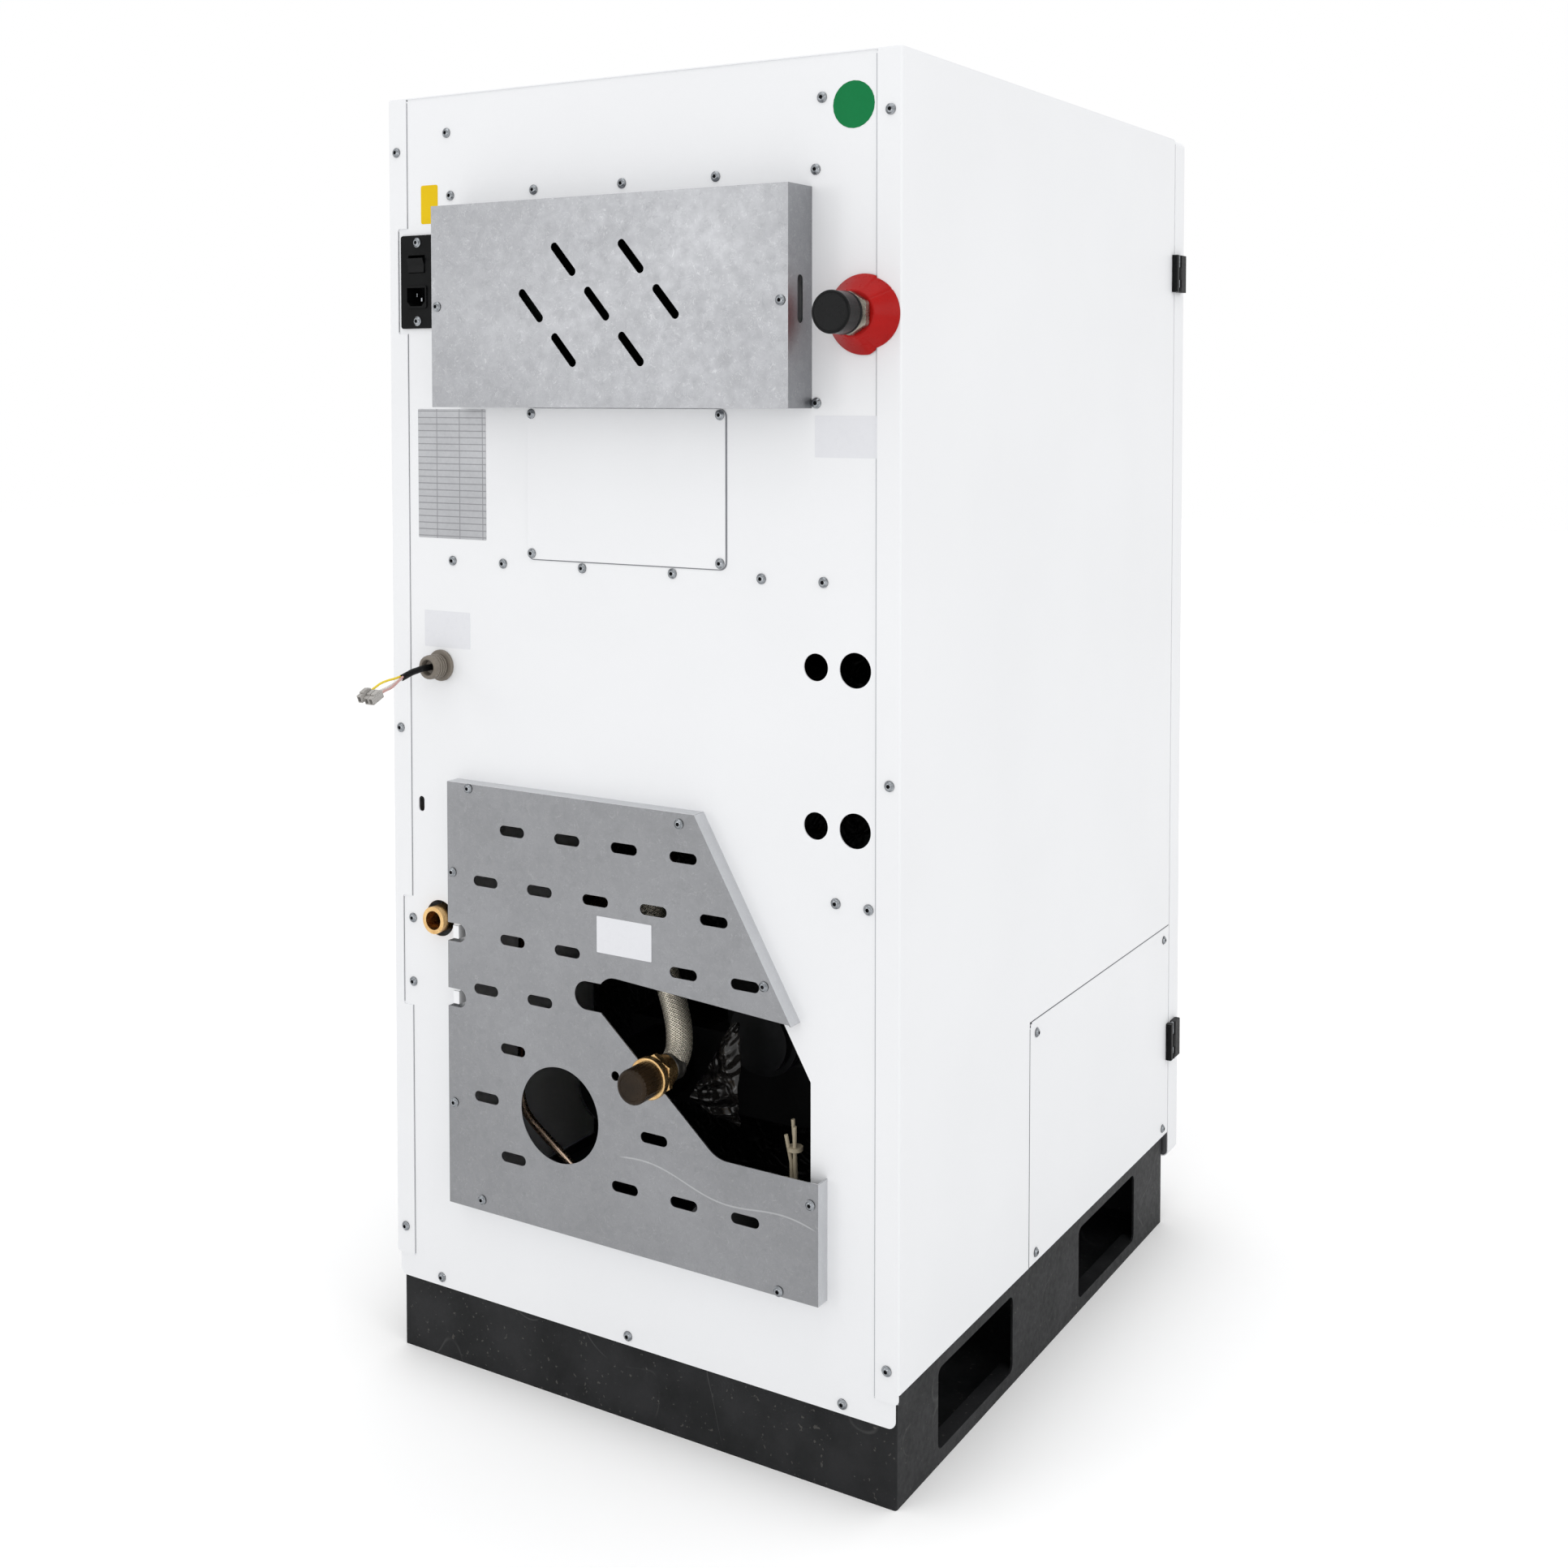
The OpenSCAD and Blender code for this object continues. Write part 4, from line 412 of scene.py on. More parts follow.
class Finish:
    """A material in the making: its nodes, its surface and the piece's own coordinates."""

    def __init__(self, name):
        self.material = bpy.data.materials.new(name)
        self.tree = emptied(self.material)
        self.surface = add(self.tree, "ShaderNodeBsdfPrincipled")
        add(self.tree, "ShaderNodeOutputMaterial", {"Surface": self.surface.outputs["BSDF"]})
        self.coords = self.out("TexCoord", output="Object")
        self.colour = None

    def out(self, kind, inputs=None, output=0, **settings):
        """An output of a shader node that is added for it."""
        return add(self.tree, "ShaderNode" + kind, inputs, **settings).outputs[output]

    def set(self, **looks):
        """Sets or links looks of the surface. Its colour is kept, for tint to build on."""
        feed(self.tree, self.surface, {LOOKS[name]: value for name, value in looks.items()})
        self.colour = looks.get("colour", self.colour)

    def tones(self, factor, dark, light):
        """Colours the surface between two tones."""
        self.set(colour=self.out("Mix", {0: factor, 6: linear(dark), 7: linear(light)}, 2, data_type="RGBA"))

    def tint(self, factor, colour, strength=1.0):
        """Lays a colour over the present one, as thickly as factor and strength say."""
        factor = self.out("Math", {0: factor, 1: strength}, operation="MULTIPLY")
        self.set(colour=self.out("Mix", {0: factor, 6: self.colour, 7: linear(colour)}, 2, data_type="RGBA"))

    def wander(self, size, stretch, **more):
        spot = self.out("Mapping", {"Vector": self.coords, "Scale": [s / (size * MM) for s in stretch]})
        return self.out("TexNoise", {"Vector": spot, "Scale": 1.0, **more}, "Fac")

    def lumps(self, size, low=0.0, high=1.0, stretch=(1, 1, 1), detail=2.0, tight=0.2):
        """A value that wanders from low to high over lumps about size mm across."""
        noise = self.wander(size, stretch, Detail=detail)
        return self.out("MapRange", {"Value": noise, "From Min": 0.5 - tight, "From Max": 0.5 + tight,
                                     "To Min": low, "To Max": high})

    def threads(self, size, width, bend, stretch=(1, 1, 1)):
        """Thin wandering lines, as fine scratches lie: 1 on a line, 0 beside it."""
        noise = self.wander(size, stretch, Detail=1.0, Distortion=bend)
        away = self.out("Math", {0: noise, 1: 0.5}, operation="SUBTRACT")
        away = self.out("Math", {0: away}, operation="ABSOLUTE")
        return self.out("MapRange", {"Value": away, "From Max": width, "To Min": 1.0, "To Max": 0.0})

    def scratches(self, size, width, bend, patch, tight):
        """Threads that show only here and there, in patches about patch mm across."""
        return self.out("Math", {0: self.threads(size, width, bend), 1: self.lumps(patch, tight=tight)},
                        operation="MULTIPLY")

    def raised(self, height, depth, strength=1.0):
        """Raises the surface by a height from 0 to 1 that stands for depth mm."""
        self.set(normal=self.out("Bump", {"Height": height, "Distance": depth * MM, "Strength": strength},
                                 "Normal"))


def plain_finish(name, dark, light, rough, grain, depth, metal=0.0, patch=60.0, stretch=(1, 1, 1),
                 gloss=0.5):
    """A made surface: two near tones in soft patches, a roughness that wanders a little, a fine grain.
    rough is (low, high); grain and patch are sizes in mm, depth is the grain's depth in mm;
    gloss is how much a surface that is no metal mirrors, 0.5 for smooth paint, less for a matt one."""
    made = Finish(name)
    fine = made.lumps(grain, stretch=stretch, detail=3.0)
    faint = made.out("Math", {0: fine, 1: 0.4}, operation="MULTIPLY")
    tone = made.out("Math", {0: made.lumps(patch), 1: faint}, operation="ADD")
    made.tones(made.out("Math", {0: tone, 1: 0.72}, operation="MULTIPLY"), dark, light)
    made.set(rough=made.lumps(grain * 3, *rough), metal=metal)
    if not metal:
        made.set(gloss=gloss)
    made.raised(fine, depth)
    return made


def powder_coat_white():
    # Polyester powder coat baked on steel sheet: satin, very pale and slightly cool, with a faint
    # orange peel that breaks up its soft reflections. The peel, 0.6 mm in life, is drawn at 1.6 mm.
    return plain_finish("powder_coat_white", "#EDEEF0", "#F0F1F3", (0.40, 0.47), 1.6, 0.012, patch=180.0,
                        gloss=0.4)


SPANGLE = 9.0  # mm across one frosted cell of the zinc


def spangled(name, dark, light, curl, rough):
    """Hot-dip galvanised sheet: grey zinc with faint frosted cells and short curled rolling marks."""
    zinc = Finish(name)
    spot = zinc.out("Mapping", {"Vector": zinc.coords, "Scale": [1 / (SPANGLE * MM)] * 3})
    warp = zinc.out("TexNoise", {"Vector": spot, "Scale": 1.3, "Detail": 2.0}, "Color")
    moved = zinc.out("VectorMath", {0: spot, 1: warp}, operation="ADD")
    cells = zinc.out("TexVoronoi", {"Vector": moved, "Scale": 1.0}, "Color")
    level = zinc.out("SeparateColor", {"Color": cells}, "Red")
    tone = zinc.out("Math", {0: level, 1: 0.10}, operation="MULTIPLY")
    for clouds in (zinc.lumps(190.0, 0.22, 0.68, tight=0.25), zinc.lumps(4.0, -0.03, 0.06, detail=3.0)):
        tone = zinc.out("Math", {0: tone, 1: clouds}, operation="ADD")
    zinc.tones(tone, dark, light)
    zinc.set(rough=zinc.lumps(SPANGLE * 1.4, *rough), metal=1.0)
    curls = zinc.scratches(11.0, 0.030, 2.8, 9.0, 0.12)
    zinc.tint(curls, curl, 0.4)
    zinc.tint(zinc.scratches(16.0, 0.022, 2.2, 13.0, 0.12), dark, 0.35)
    steps = zinc.out("Math", {0: level, 1: 0.15}, operation="MULTIPLY")
    zinc.raised(zinc.out("Math", {0: curls, 1: steps}, operation="ADD"), 0.02, 0.3)
    return zinc


def galvanised_bright():
    # Hot-dip galvanised sheet of the upper cover: light grey zinc, clean, with a broad soft sheen
    # and faint curled marks from rolling.
    return spangled("galvanised_sheet_bright", "#7F8083", "#ABACAF", "#C6C7C9", (0.34, 0.40))


def galvanised_painted_highlight():
    # The same sheet, painted paler as a highlight where it is bent: a bright line or a pale narrow flank.
    return spangled("galvanised_sheet_fold", "#C6C7C9", "#DCDDDF", "#E6E7E8", (0.30, 0.38))


# The lower cover's one long scratch
SCRATCH_ENDS = ((-1.6, 289.4), (-239.0, 262.3))  # x and z in mm
SCRATCH_EDGE = (0.0004, 0.0011)  # metres from its middle over which it fades
SCRATCH_FADE = 0.04  # share of its length over which each end fades
SCRATCH_WAVES = 9.0  # turn of the wave from end to end
SCRATCH_WAVER = 0.006  # height of the wave in metres
SCRATCH_LEVEL = (0.370, 0.374)  # y in metres from which sheet carries it


def long_scratch(sheet):
    """1 on a hair-thin line that wavers down across the lower cover, 0 beside it."""
    (x0, z0), (x1, z1) = [((x + SEAT.x) * MM, z * MM) for x, z in SCRATCH_ENDS]
    place = add(sheet.tree, "ShaderNodeSeparateXYZ", {"Vector": sheet.coords}).outputs
    along = sheet.out("MapRange", {"Value": place["X"], "From Min": x0, "From Max": x1}, clamp=False)
    turn = sheet.out("Math", {0: along, 1: SCRATCH_WAVES}, operation="MULTIPLY")
    wave = sheet.out("Math", {0: turn}, operation="SINE")
    wave = sheet.out("Math", {0: wave, 1: SCRATCH_WAVER}, operation="MULTIPLY")
    line = sheet.out("Math", {0: along, 1: z1 - z0}, operation="MULTIPLY")
    for more in (wave, z0):
        line = sheet.out("Math", {0: line, 1: more}, operation="ADD")
    away = sheet.out("Math", {0: place["Z"], 1: line}, operation="SUBTRACT")
    away = sheet.out("Math", {0: away}, operation="ABSOLUTE")
    low, high = SCRATCH_EDGE
    thin = sheet.out("MapRange", {"Value": away, "From Min": low, "From Max": high, "To Min": 1.0,
                                  "To Max": 0.0})
    low, high = SCRATCH_LEVEL
    outside = sheet.out("MapRange", {"Value": place["Y"], "From Min": low, "From Max": high})
    tail = sheet.out("MapRange", {"Value": along, "From Min": 1.0, "From Max": 1.0 - SCRATCH_FADE})
    shown = sheet.out("MapRange", {"Value": along, "From Max": SCRATCH_FADE})
    for share in (tail, thin, outside):
        shown = sheet.out("Math", {0: shown, 1: share}, operation="MULTIPLY")
    return shown


def galvanised_dull():
    # The same sheet, handled and weathered: a darker, flatter grey with one long wavering scratch.
    sheet = spangled("galvanised_sheet_dull", "#7B7C7E", "#9C9DA0", "#ABACAE", (0.40, 0.48))
    sheet.tint(long_scratch(sheet), "#C9CACB", 0.4)
    return sheet


def powder_coat_black():
    # Black powder coat on the folded base: satin charcoal, dusty in patches, with a few pale
    # handling scratches and specks of floor dirt.
    paint = plain_finish("powder_coat_black", "#151617", "#1E1F20", (0.42, 0.54), 1.8, 0.03, patch=120.0,
                         gloss=0.13)
    paint.tint(paint.lumps(70.0, 0.0, 0.06, tight=0.12, detail=5.0), "#77767A")
    paint.tint(paint.scratches(190.0, 0.004, 0.8, 60.0, 0.05), "#8B8A88", 0.12)
    specks = paint.out("Clamp", {"Value": paint.lumps(5.0, -9.0, 1.0, tight=0.22)})
    paint.tint(specks, "#9A968E", 0.14)
    return paint


def moulded(name, dark, light, rough, gloss=0.3, grain=0.9, depth=0.02):
    """Injection-moulded plastic or smooth enamel: an even colour with a fine matt grain."""
    return plain_finish(name, dark, light, rough, grain, depth, patch=25.0, gloss=gloss)


def machined(name, dark, light, rough, patch=14.0):
    """Turned or drawn metal: fine rings round the y axis, and a slight tarnish in patches."""
    return plain_finish(name, dark, light, rough, 0.5, 0.01, metal=1.0, patch=patch,
                        stretch=(0.15, 1.0, 0.15))


def cast(name, dark, light, rough, gloss=0.12):
    """Sand-cast iron under heat-proof paint: a coarse pebbled skin."""
    return plain_finish(name, dark, light, rough, 2.2, 0.12, patch=30.0, gloss=gloss)


# above these heights the copper is painted dark brown, painted shade where it runs behind the lower cover's
# slots
COPPER_PAINTED_SHADE = (0.285, 0.320)  # heights in metres over which the copper turns brown


def drawn_copper():
    # Drawn copper tube: bright and pale low down, painted dark brown higher up as shade behind the lower
    # cover's slots.
    tube = machined("drawn_copper", "#E2BCA0", "#F6DEC8", (0.22, 0.32), 30.0)
    height = tube.out("SeparateXYZ", {"Vector": tube.coords}, "Z")
    low, high = COPPER_PAINTED_SHADE
    tube.tint(tube.out("MapRange", {"Value": height, "From Min": low, "From Max": high}), "#1E130D")
    return tube


def crinkled_foil():
    # Black foil wrapped round mineral wool: nearly black, crumpled into soft dents and creases.
    foil = Finish("crinkled_black_foil")
    foil.tones(foil.lumps(50.0), "#020202", "#060607")
    foil.set(rough=foil.lumps(40.0, 0.34, 0.50), gloss=0.12)
    creases = foil.out("Math", {0: foil.threads(60.0, 0.10, 1.6), 1: foil.threads(24.0, 0.12, 1.2)},
                       operation="ADD")
    foil.raised(creases, 2.0, 0.7)
    return foil


def braided_steel():
    # Stainless wire braid on a rubber hose: flat crossing bundles in warm grey, with a painted highlight
    # on their backs and painted shade in the gaps between them.
    wire = Finish("braided_stainless_wire")
    lay = add(wire.tree, "ShaderNodeSeparateXYZ", {"Vector": wire.out("TexCoord", output="UV")}).outputs
    around = wire.out("Math", {0: lay["X"], 1: 2 * math.pi * BRAID_CARRIERS}, operation="MULTIPLY")
    along = wire.out("Math", {0: lay["Y"], 1: BRAID_RATE}, operation="MULTIPLY")
    strands = []
    for sign in ("ADD", "SUBTRACT"):
        phase = wire.out("Math", {0: around, 1: along}, operation=sign)
        wave = wire.out("Math", {0: phase}, operation="COSINE")
        back = wire.out("Math", {0: wave, 1: wave}, operation="MULTIPLY")
        strands.append(wire.out("Math", {0: wave, 1: back}, operation="MAXIMUM"))
    weave = wire.out("Math", {0: strands[0], 1: strands[1]}, operation="MAXIMUM")
    shade = wire.out("MapRange", {"Value": weave})
    # painted shade in the gaps and a painted highlight on the bundles' backs, from near black to pale
    wire.tones(wire.out("Math", {0: shade, 1: shade}, operation="MULTIPLY"), "#15120E", "#F4ECDC")
    wire.set(rough=wire.lumps(6.0, 0.30, 0.42), metal=0.85)
    wire.tint(wire.lumps(30.0, 0.0, 0.15), "#D8C8A8")
    wire.raised(weave, 0.6)
    return wire


def display_glass():
    # Tinted cover glass over a dark screen: near black, glossy, with the faintest haze.
    glass = plain_finish("tinted_display_glass", "#06090C", "#0A0E12", (0.05, 0.09), 8.0, 0.002, patch=70.0)
    glass.set(coat=0.4)
    return glass


def printed_board():
    # Glass-fibre circuit board under black solder mask, kept near black as painted shade behind the cover's
    # vents, with copper tracks that show as paler lines.
    board = plain_finish("circuit_board_black", "#070908", "#0C100E", (0.28, 0.40), 2.0, 0.01, gloss=0.15)
    board.tint(board.threads(16.0, 0.03, 0.0), "#1C2620", 0.5)
    return board


# What the real surface of each slot is: its maker, name, dark and light tone, roughness and the
# values that differ from the maker's own
FINISHES = {
    "white_powder_coat": (powder_coat_white,),
    "galvanised_sheet": (galvanised_bright,),
    "plain_galvanised": (galvanised_dull,),
    "black_powder_coat": (powder_coat_black,),
    "braided_steel": (braided_steel,),
    "black_foil_lagging": (crinkled_foil,),
    "display_glass": (display_glass,),
    "circuit_board": (printed_board,),
    "copper_pipe": (drawn_copper,),
    # glass-filled nylon of the mains inlet: matt black
    "black_plastic": (moulded, "moulded_nylon_black", "#0C0D0D", "#141516", (0.40, 0.52), 0.08),
    # polycarbonate rocker, a little smoother than its frame
    "rocker_plastic": (moulded, "moulded_rocker_black", "#08090A", "#0F1011", (0.28, 0.38), 0.12),
    # soft grey-brown polyamide of the gland
    "gland_plastic": (moulded, "moulded_gland_taupe", "#6E675E", "#827A70", (0.38, 0.50)),
    # soft PVC of the lead: a slight sheen along its sheath, a clear strong yellow on its core
    "lead_sheath": (moulded, "pvc_sheath_black", "#060707", "#0C0D0E", (0.30, 0.40), 0.12),
    "lead_core": (moulded, "pvc_core_yellow", "#E3C62C", "#F3DC4A", (0.34, 0.44)),
    # milky grey polycarbonate
    "connector_plastic": (moulded, "polycarbonate_grey", "#9B9894", "#B3B0AC", (0.25, 0.38)),
    # ABS rosette with a mould's semi-gloss
    "red_plastic": (moulded, "moulded_abs_red", "#9E0F0D", "#B01311", (0.26, 0.34), 0.14, 1.4, 0.008),
    # polyethylene caps: smooth, dark, with a soft highlight along the rim
    "cap_plastic": (moulded, "moulded_cap_black", "#08090A", "#0E0F10", (0.20, 0.28), 0.12),
    "brown_cap_plastic": (moulded, "moulded_cap_brown", "#1D150C", "#302417", (0.26, 0.36), 0.14),
    # rubbery matt charcoal of the door's grip
    "grip_plastic": (moulded, "moulded_grip_charcoal", "#222326", "#2E2F33", (0.45, 0.58)),
    # paints and enamels, from satin on the hinge to dusty matt on the fan; the motor's, the fan's and the
    # pump's are kept near black as painted shade inside the casing
    "hinge_black": (moulded, "powder_coat_hinge_black", "#08090A", "#101112", (0.34, 0.46), 0.10, 1.2),
    "motor_black": (moulded, "stove_enamel_motor_black", "#0C0D0E", "#151618", (0.36, 0.5), 0.2, 1.6),
    "fan_housing_paint": (moulded, "heat_paint_graphite", "#0C0C0D", "#151516", (0.5, 0.65), 0.12, 1.6),
    "vessel_red": (moulded, "stove_enamel_red", "#8E1915", "#A5221C", (0.30, 0.42), 0.3, 1.6),
    "pump_paint": (moulded, "cast_paint_maroon", "#180605", "#260B09", (0.45, 0.58), 0.1, 1.6),
    # heat-proof paint and iron that fire has browned: coarse, dull, no highlight; the boiler plate is kept
    # near black as painted shade inside the casing
    "black_boiler_plate": (cast, "heat_paint_boiler_black", "#101112", "#1B1C1E", (0.5, 0.66)),
    "cast_iron": (cast, "cast_iron_painted", "#1C1D1F", "#2C2D30", (0.5, 0.68), 0.3),
    "burner_cast_iron": (cast, "cast_iron_fired", "#3B302A", "#5F5146", (0.6, 0.8)),
    # pale silicone of the sensors' leads, slightly yellowed
    "pale_lead": (moulded, "silicone_lead_pale", "#A59A84", "#BCB199", (0.45, 0.55)),
    # turned brass, warm and bright, with rings from the tool, and its duller nickel-plated kin
    "brass": (machined, "turned_brass", "#BC9058", "#E6C48C", (0.24, 0.36)),
    "nickel_brass": (machined, "nickel_plated_brass", "#67625A", "#A29C91", (0.20, 0.34), 8.0),
    # zinc-plated pressed steel: bright, faintly blue
    "zinc_plated_steel": (machined, "zinc_plated_steel", "#6A6D71", "#A6AAAE", (0.16, 0.26), 4.0),
    # drawn and rolled steel: a grey brushed sheen
    "steel_pipe": (machined, "drawn_steel_pipe", "#6F6D69", "#8F8C87", (0.32, 0.45)),
    "stainless_impeller": (machined, "stainless_sheet", "#85888B", "#A9ACAF", (0.28, 0.4)),
}
made_finishes = {}


def finish_of(slot):
    """The slot's finish, made when it is first asked for."""
    if slot not in made_finishes:
        maker, *values = FINISHES[slot]
        made_finishes[slot] = maker(*values)
    return made_finishes[slot]


# Cords. Each route repeats the steps that the model's own tube follows.

HOSE_EXIT = (-52.0, 0.0, 386.0)
HOSE_D = 28.0
HOSE_STEPS = [(0, 2, 0), (0, -6, 1), (0, -14, 5), (2, -24, 14), (8, -33, 30), (18, -41, 48), (32, -49, 70),
              (48, -57, 95), (60, -65, 118), (69, -72, 140), (73, -77, 160), (74, -78, 174)]
BRAID_CARRIERS = 12  # strand bundles that wind each way
BRAID_RATE = 1.2  # turn of a bundle's phase per mm along the hose
BRAID_RISE = 0.060  # height of a bundle as a share of the radius
GLAND_MOUTH = (249.0, 22.5, 779.0)
SHEATH_D = 7.0
SHEATH_STEPS = [(0, -36, 0), (0, -12, 0), (0, 0, 0), (0, 8, 0), (0, 16, -1), (0, 24, -2), (0, 32, -4),
                (0, 40, -6)]
CORE_D = 2.6
CORE_STEPS = {
    "yellow": [(1.7, 40, -4.6), (3, 48, -6), (5, 56, -7), (6, 66, -9), (6, 74, -12), (6, 82, -15)],
    "clear": [(0, 40, -7.6), (-0.5, 48, -9), (-1, 56, -11), (-1, 64, -13), (0, 72, -15), (0, 78, -17)],
    "red": [(-1.7, 40, -4.6), (-4, 48, -7), (-6, 56, -10), (-7, 64, -13), (-6, 72, -15), (-6, 78, -17)],
}
LEVER_TURN = math.radians(-24)
CAP_RIBS = 24
NUT_FLUTES = 16


def steps_from(start, steps):
    return [Vector(start) + Vector(s) for s in steps]


def braid(angle, along):
    """Height of two crossing sets of wire bundles, each over the other in turn."""
    first = BRAID_CARRIERS * angle + BRAID_RATE * along
    second = BRAID_CARRIERS * angle - BRAID_RATE * along
    over = math.sin(first / 2) * math.sin(second / 2)
    one = abs(math.cos(first / 2)) ** 0.5 * (0.8 + 0.2 * math.tanh(4 * over))
    two = abs(math.cos(second / 2)) ** 0.5 * (0.8 - 0.2 * math.tanh(4 * over))
    return 1.0 - BRAID_RISE + BRAID_RISE * max(one, two)


def hose_union():
    """Brass union: a threaded neck, a chamfered nut, a step and a broad turned ring."""
    x, _, z = HOSE_EXIT
    neck = [(9.5, 2), (14.6, 2), (15.5, 2.9), (15.5, 9.5), (17.5, 10), (17.5, 16.8), (14, 16.9),
            (14, 50), (13, 51), (9.5, 51)]
    ring = [(15, 26.1), (18.6, 26.1), (19.2, 26.5), (19.2, 27.3), (20.6, 27.6), (21.3, 28.2), (21.5, 28.9),
            (21.5, 34.8), (21.3, 35.6), (20.7, 36.2), (19.9, 36.5), (15, 36.5)]
    solids = [turned((x, 0, z), neck), turned((x, 0, z), ring),
              turned((x, 0, z), chamfered(22.0, 15.0, 17.0, 26.0), shaper=hexagon(38.1))]
    return piece("brass_hose_union", solids, "brass", "hose_union")


def hose_ferrule():
    """Steel sleeve crimped on the hose's end behind the union, with six dimples pressed in."""
    def dimpled(angle, radius, height):
        dent = math.cos(3 * angle) ** 2 * math.exp(-((height + 7) / 2.6) ** 2)
        return radius - (1.1 * dent if radius > 14 else 0)
    x, _, z = HOSE_EXIT
    wall = [(14.9, -12.3 + k) for k in range(14)]
    outline = [(11, -13), (14.2, -13)] + wall + [(14.2, 2), (11, 2)]
    return piece("hose_ferrule", [turned((x, 0, z), outline, shaper=dimpled)], "steel_pipe")


def hose_cap():
    """Brown protective cap: a ribbed skirt and a plain, slightly dished face."""
    def ribbed(angle, radius, height):
        groove = max(0.0, math.cos(CAP_RIBS * angle) - 0.35) * 0.9
        return radius - (groove if radius > 17.6 else 0)
    x, _, z = HOSE_EXIT
    outline = [(14.3, 37), (17.7, 37), (18, 37.5), (18, 61), (17.8, 62.4), (17, 63.6),
               (15.8, 64.4), (14.6, 64.8), (13.6, 64.6), (13.2, 64), (0, 63.7), (0, 53), (14.3, 52)]
    skirt = turned((x, 0, z), outline, 240, ribbed)
    return piece("hose_cap_brown", [skirt], "brown_cap_plastic", "hose_cap", angle=40.0)


def lever_connector(name, end):
    """Lever connector on a core's end: floor, roof, two walls, two webs and the lever on top."""
    turn = Matrix.Translation(end) @ Matrix.Rotation(LEVER_TURN, 4, "X")
    half, inner = 2.8, 1.9
    blocks = [((-half, 0, -4.0), (half, 17.0, -2.6), 0.25), ((-half, 0, 3.0), (half, 17.0, 4.4), 0.25),
              ((-half, 0, -2.6), (-inner, 17.0, 3.0), 0.2), ((inner, 0, -2.6), (half, 17.0, 3.0), 0.2),
              ((-inner, 4.5, -2.6), (inner, 8.5, 3.0), 0.1), ((-inner, 11.0, -2.6), (inner, 12.4, 3.0), 0.1),
              ((-half + 0.3, 3.0, 4.4), (half - 0.3, 12.0, 6.2), 0.5)]
    return piece(name, [box(*block, turn) for block in blocks], "connector_plastic", "lever_connector")


def lay_cords():
    union, ferrule, cap = hose_union(), hose_ferrule(), hose_cap()
    route = steps_from(HOSE_EXIT, HOSE_STEPS)
    hose, path = tube_along("braided_return_hose", route, HOSE_D / 2, sides=132, rings=330, relief=braid)
    fix(hose, "braided_steel", "return_hose")
    route = steps_from(GLAND_MOUTH, SHEATH_STEPS)
    sheath, path = tube_along("lead_sheath_black", route, SHEATH_D / 2, sides=32, rings=60)
    fix(sheath, "lead_sheath", "lead_sheath")
    for colour, steps in CORE_STEPS.items():
        route = steps_from(GLAND_MOUTH, steps)
        core, core_path = tube_along("lead_core_" + colour, route, CORE_D / 2, sides=16, rings=40)
        fix(core, "lead_core", "lead_cores", finish=pale_core(colour))
        connector = lever_connector("lever_connector_" + colour, route[-1])


CORE_TONES = {"clear": ("#D9D4D0", "#E8E4E1"), "red": ("#B98F8A", "#CBA29C")}


def pale_core(colour):
    # PVC insulation of the two pale cores: milky, or a faded red. The yellow core has its slot's own.
    if colour in CORE_TONES:
        return moulded("pvc_core_" + colour, *CORE_TONES[colour], (0.34, 0.44))


# Stage and light

SKY_LIGHT = 0.88  # the surroundings as a light; they look white
FLOOR_LIGHT = (0.84, 0.84, 0.84, 1)  # the floor as a light
# the floor as the camera sees it, painted paler away from the middle: painted light where the lamps fall off
FLOOR_PAINTED_LIGHT = (0.9, 2.6, 1.08, 1.24)  # from 1.08 at 0.9 m out of the middle to 1.24 at 2.6 m
FLOOR_REACH = 14.0


def looked_at(tree):
    """The kinds of ray, and 1 for one from the camera or a reflection, 0 for one that gathers light."""
    path = add(tree, "ShaderNodeLightPath").outputs
    seen = add(tree, "ShaderNodeMath", {0: path["Is Camera Ray"], 1: path["Is Glossy Ray"]},
               operation="MAXIMUM")
    return path, seen.outputs[0]


def set_stage():
    """A plain floor and plain surroundings: white to look at, a little less as a light."""
    scene.world = bpy.data.worlds.new("studio")
    tree = emptied(scene.world)
    path, seen = looked_at(tree)
    seen = add(tree, "ShaderNodeMath", {0: seen, 1: path["Is Transmission Ray"]}, operation="MAXIMUM")
    strength = add(tree, "ShaderNodeMapRange", {"Value": seen.outputs[0], "To Min": SKY_LIGHT})
    sky = add(tree, "ShaderNodeBackground", {"Color": (1, 1, 1, 1), "Strength": strength.outputs[0]})
    add(tree, "ShaderNodeOutputWorld", {"Surface": sky.outputs[0]})
    # A matt white paint without highlights, so that only soft shadows show on it. To the camera it is
    # painted paler away from the middle, painted light where the lamps fall off.
    paint = Finish("studio_floor_paint")
    seen = looked_at(paint.tree)[1]
    away = paint.out("VectorMath", {0: paint.coords}, "Value", operation="LENGTH")
    near, far, low, high = FLOOR_PAINTED_LIGHT
    tone = paint.out("MapRange", {"Value": away, "From Min": near, "From Max": far, "To Min": low,
                                  "To Max": high})
    shown = paint.out("CombineColor", {"Red": tone, "Green": tone, "Blue": tone})
    floor_colour = paint.out("Mix", {0: seen, 6: FLOOR_LIGHT, 7: shown}, 2, data_type="RGBA")
    paint.set(colour=floor_colour, rough=0.9, gloss=0.0)
    corners = [(FLOOR_REACH * x, FLOOR_REACH * y, 0) for x, y in ((-1, -1), (1, -1), (1, 1), (-1, 1))]
    floor = put("floor", mesh_of("floor", corners, [[0, 1, 2, 3]]))
    floor.data.materials.append(paint.material)


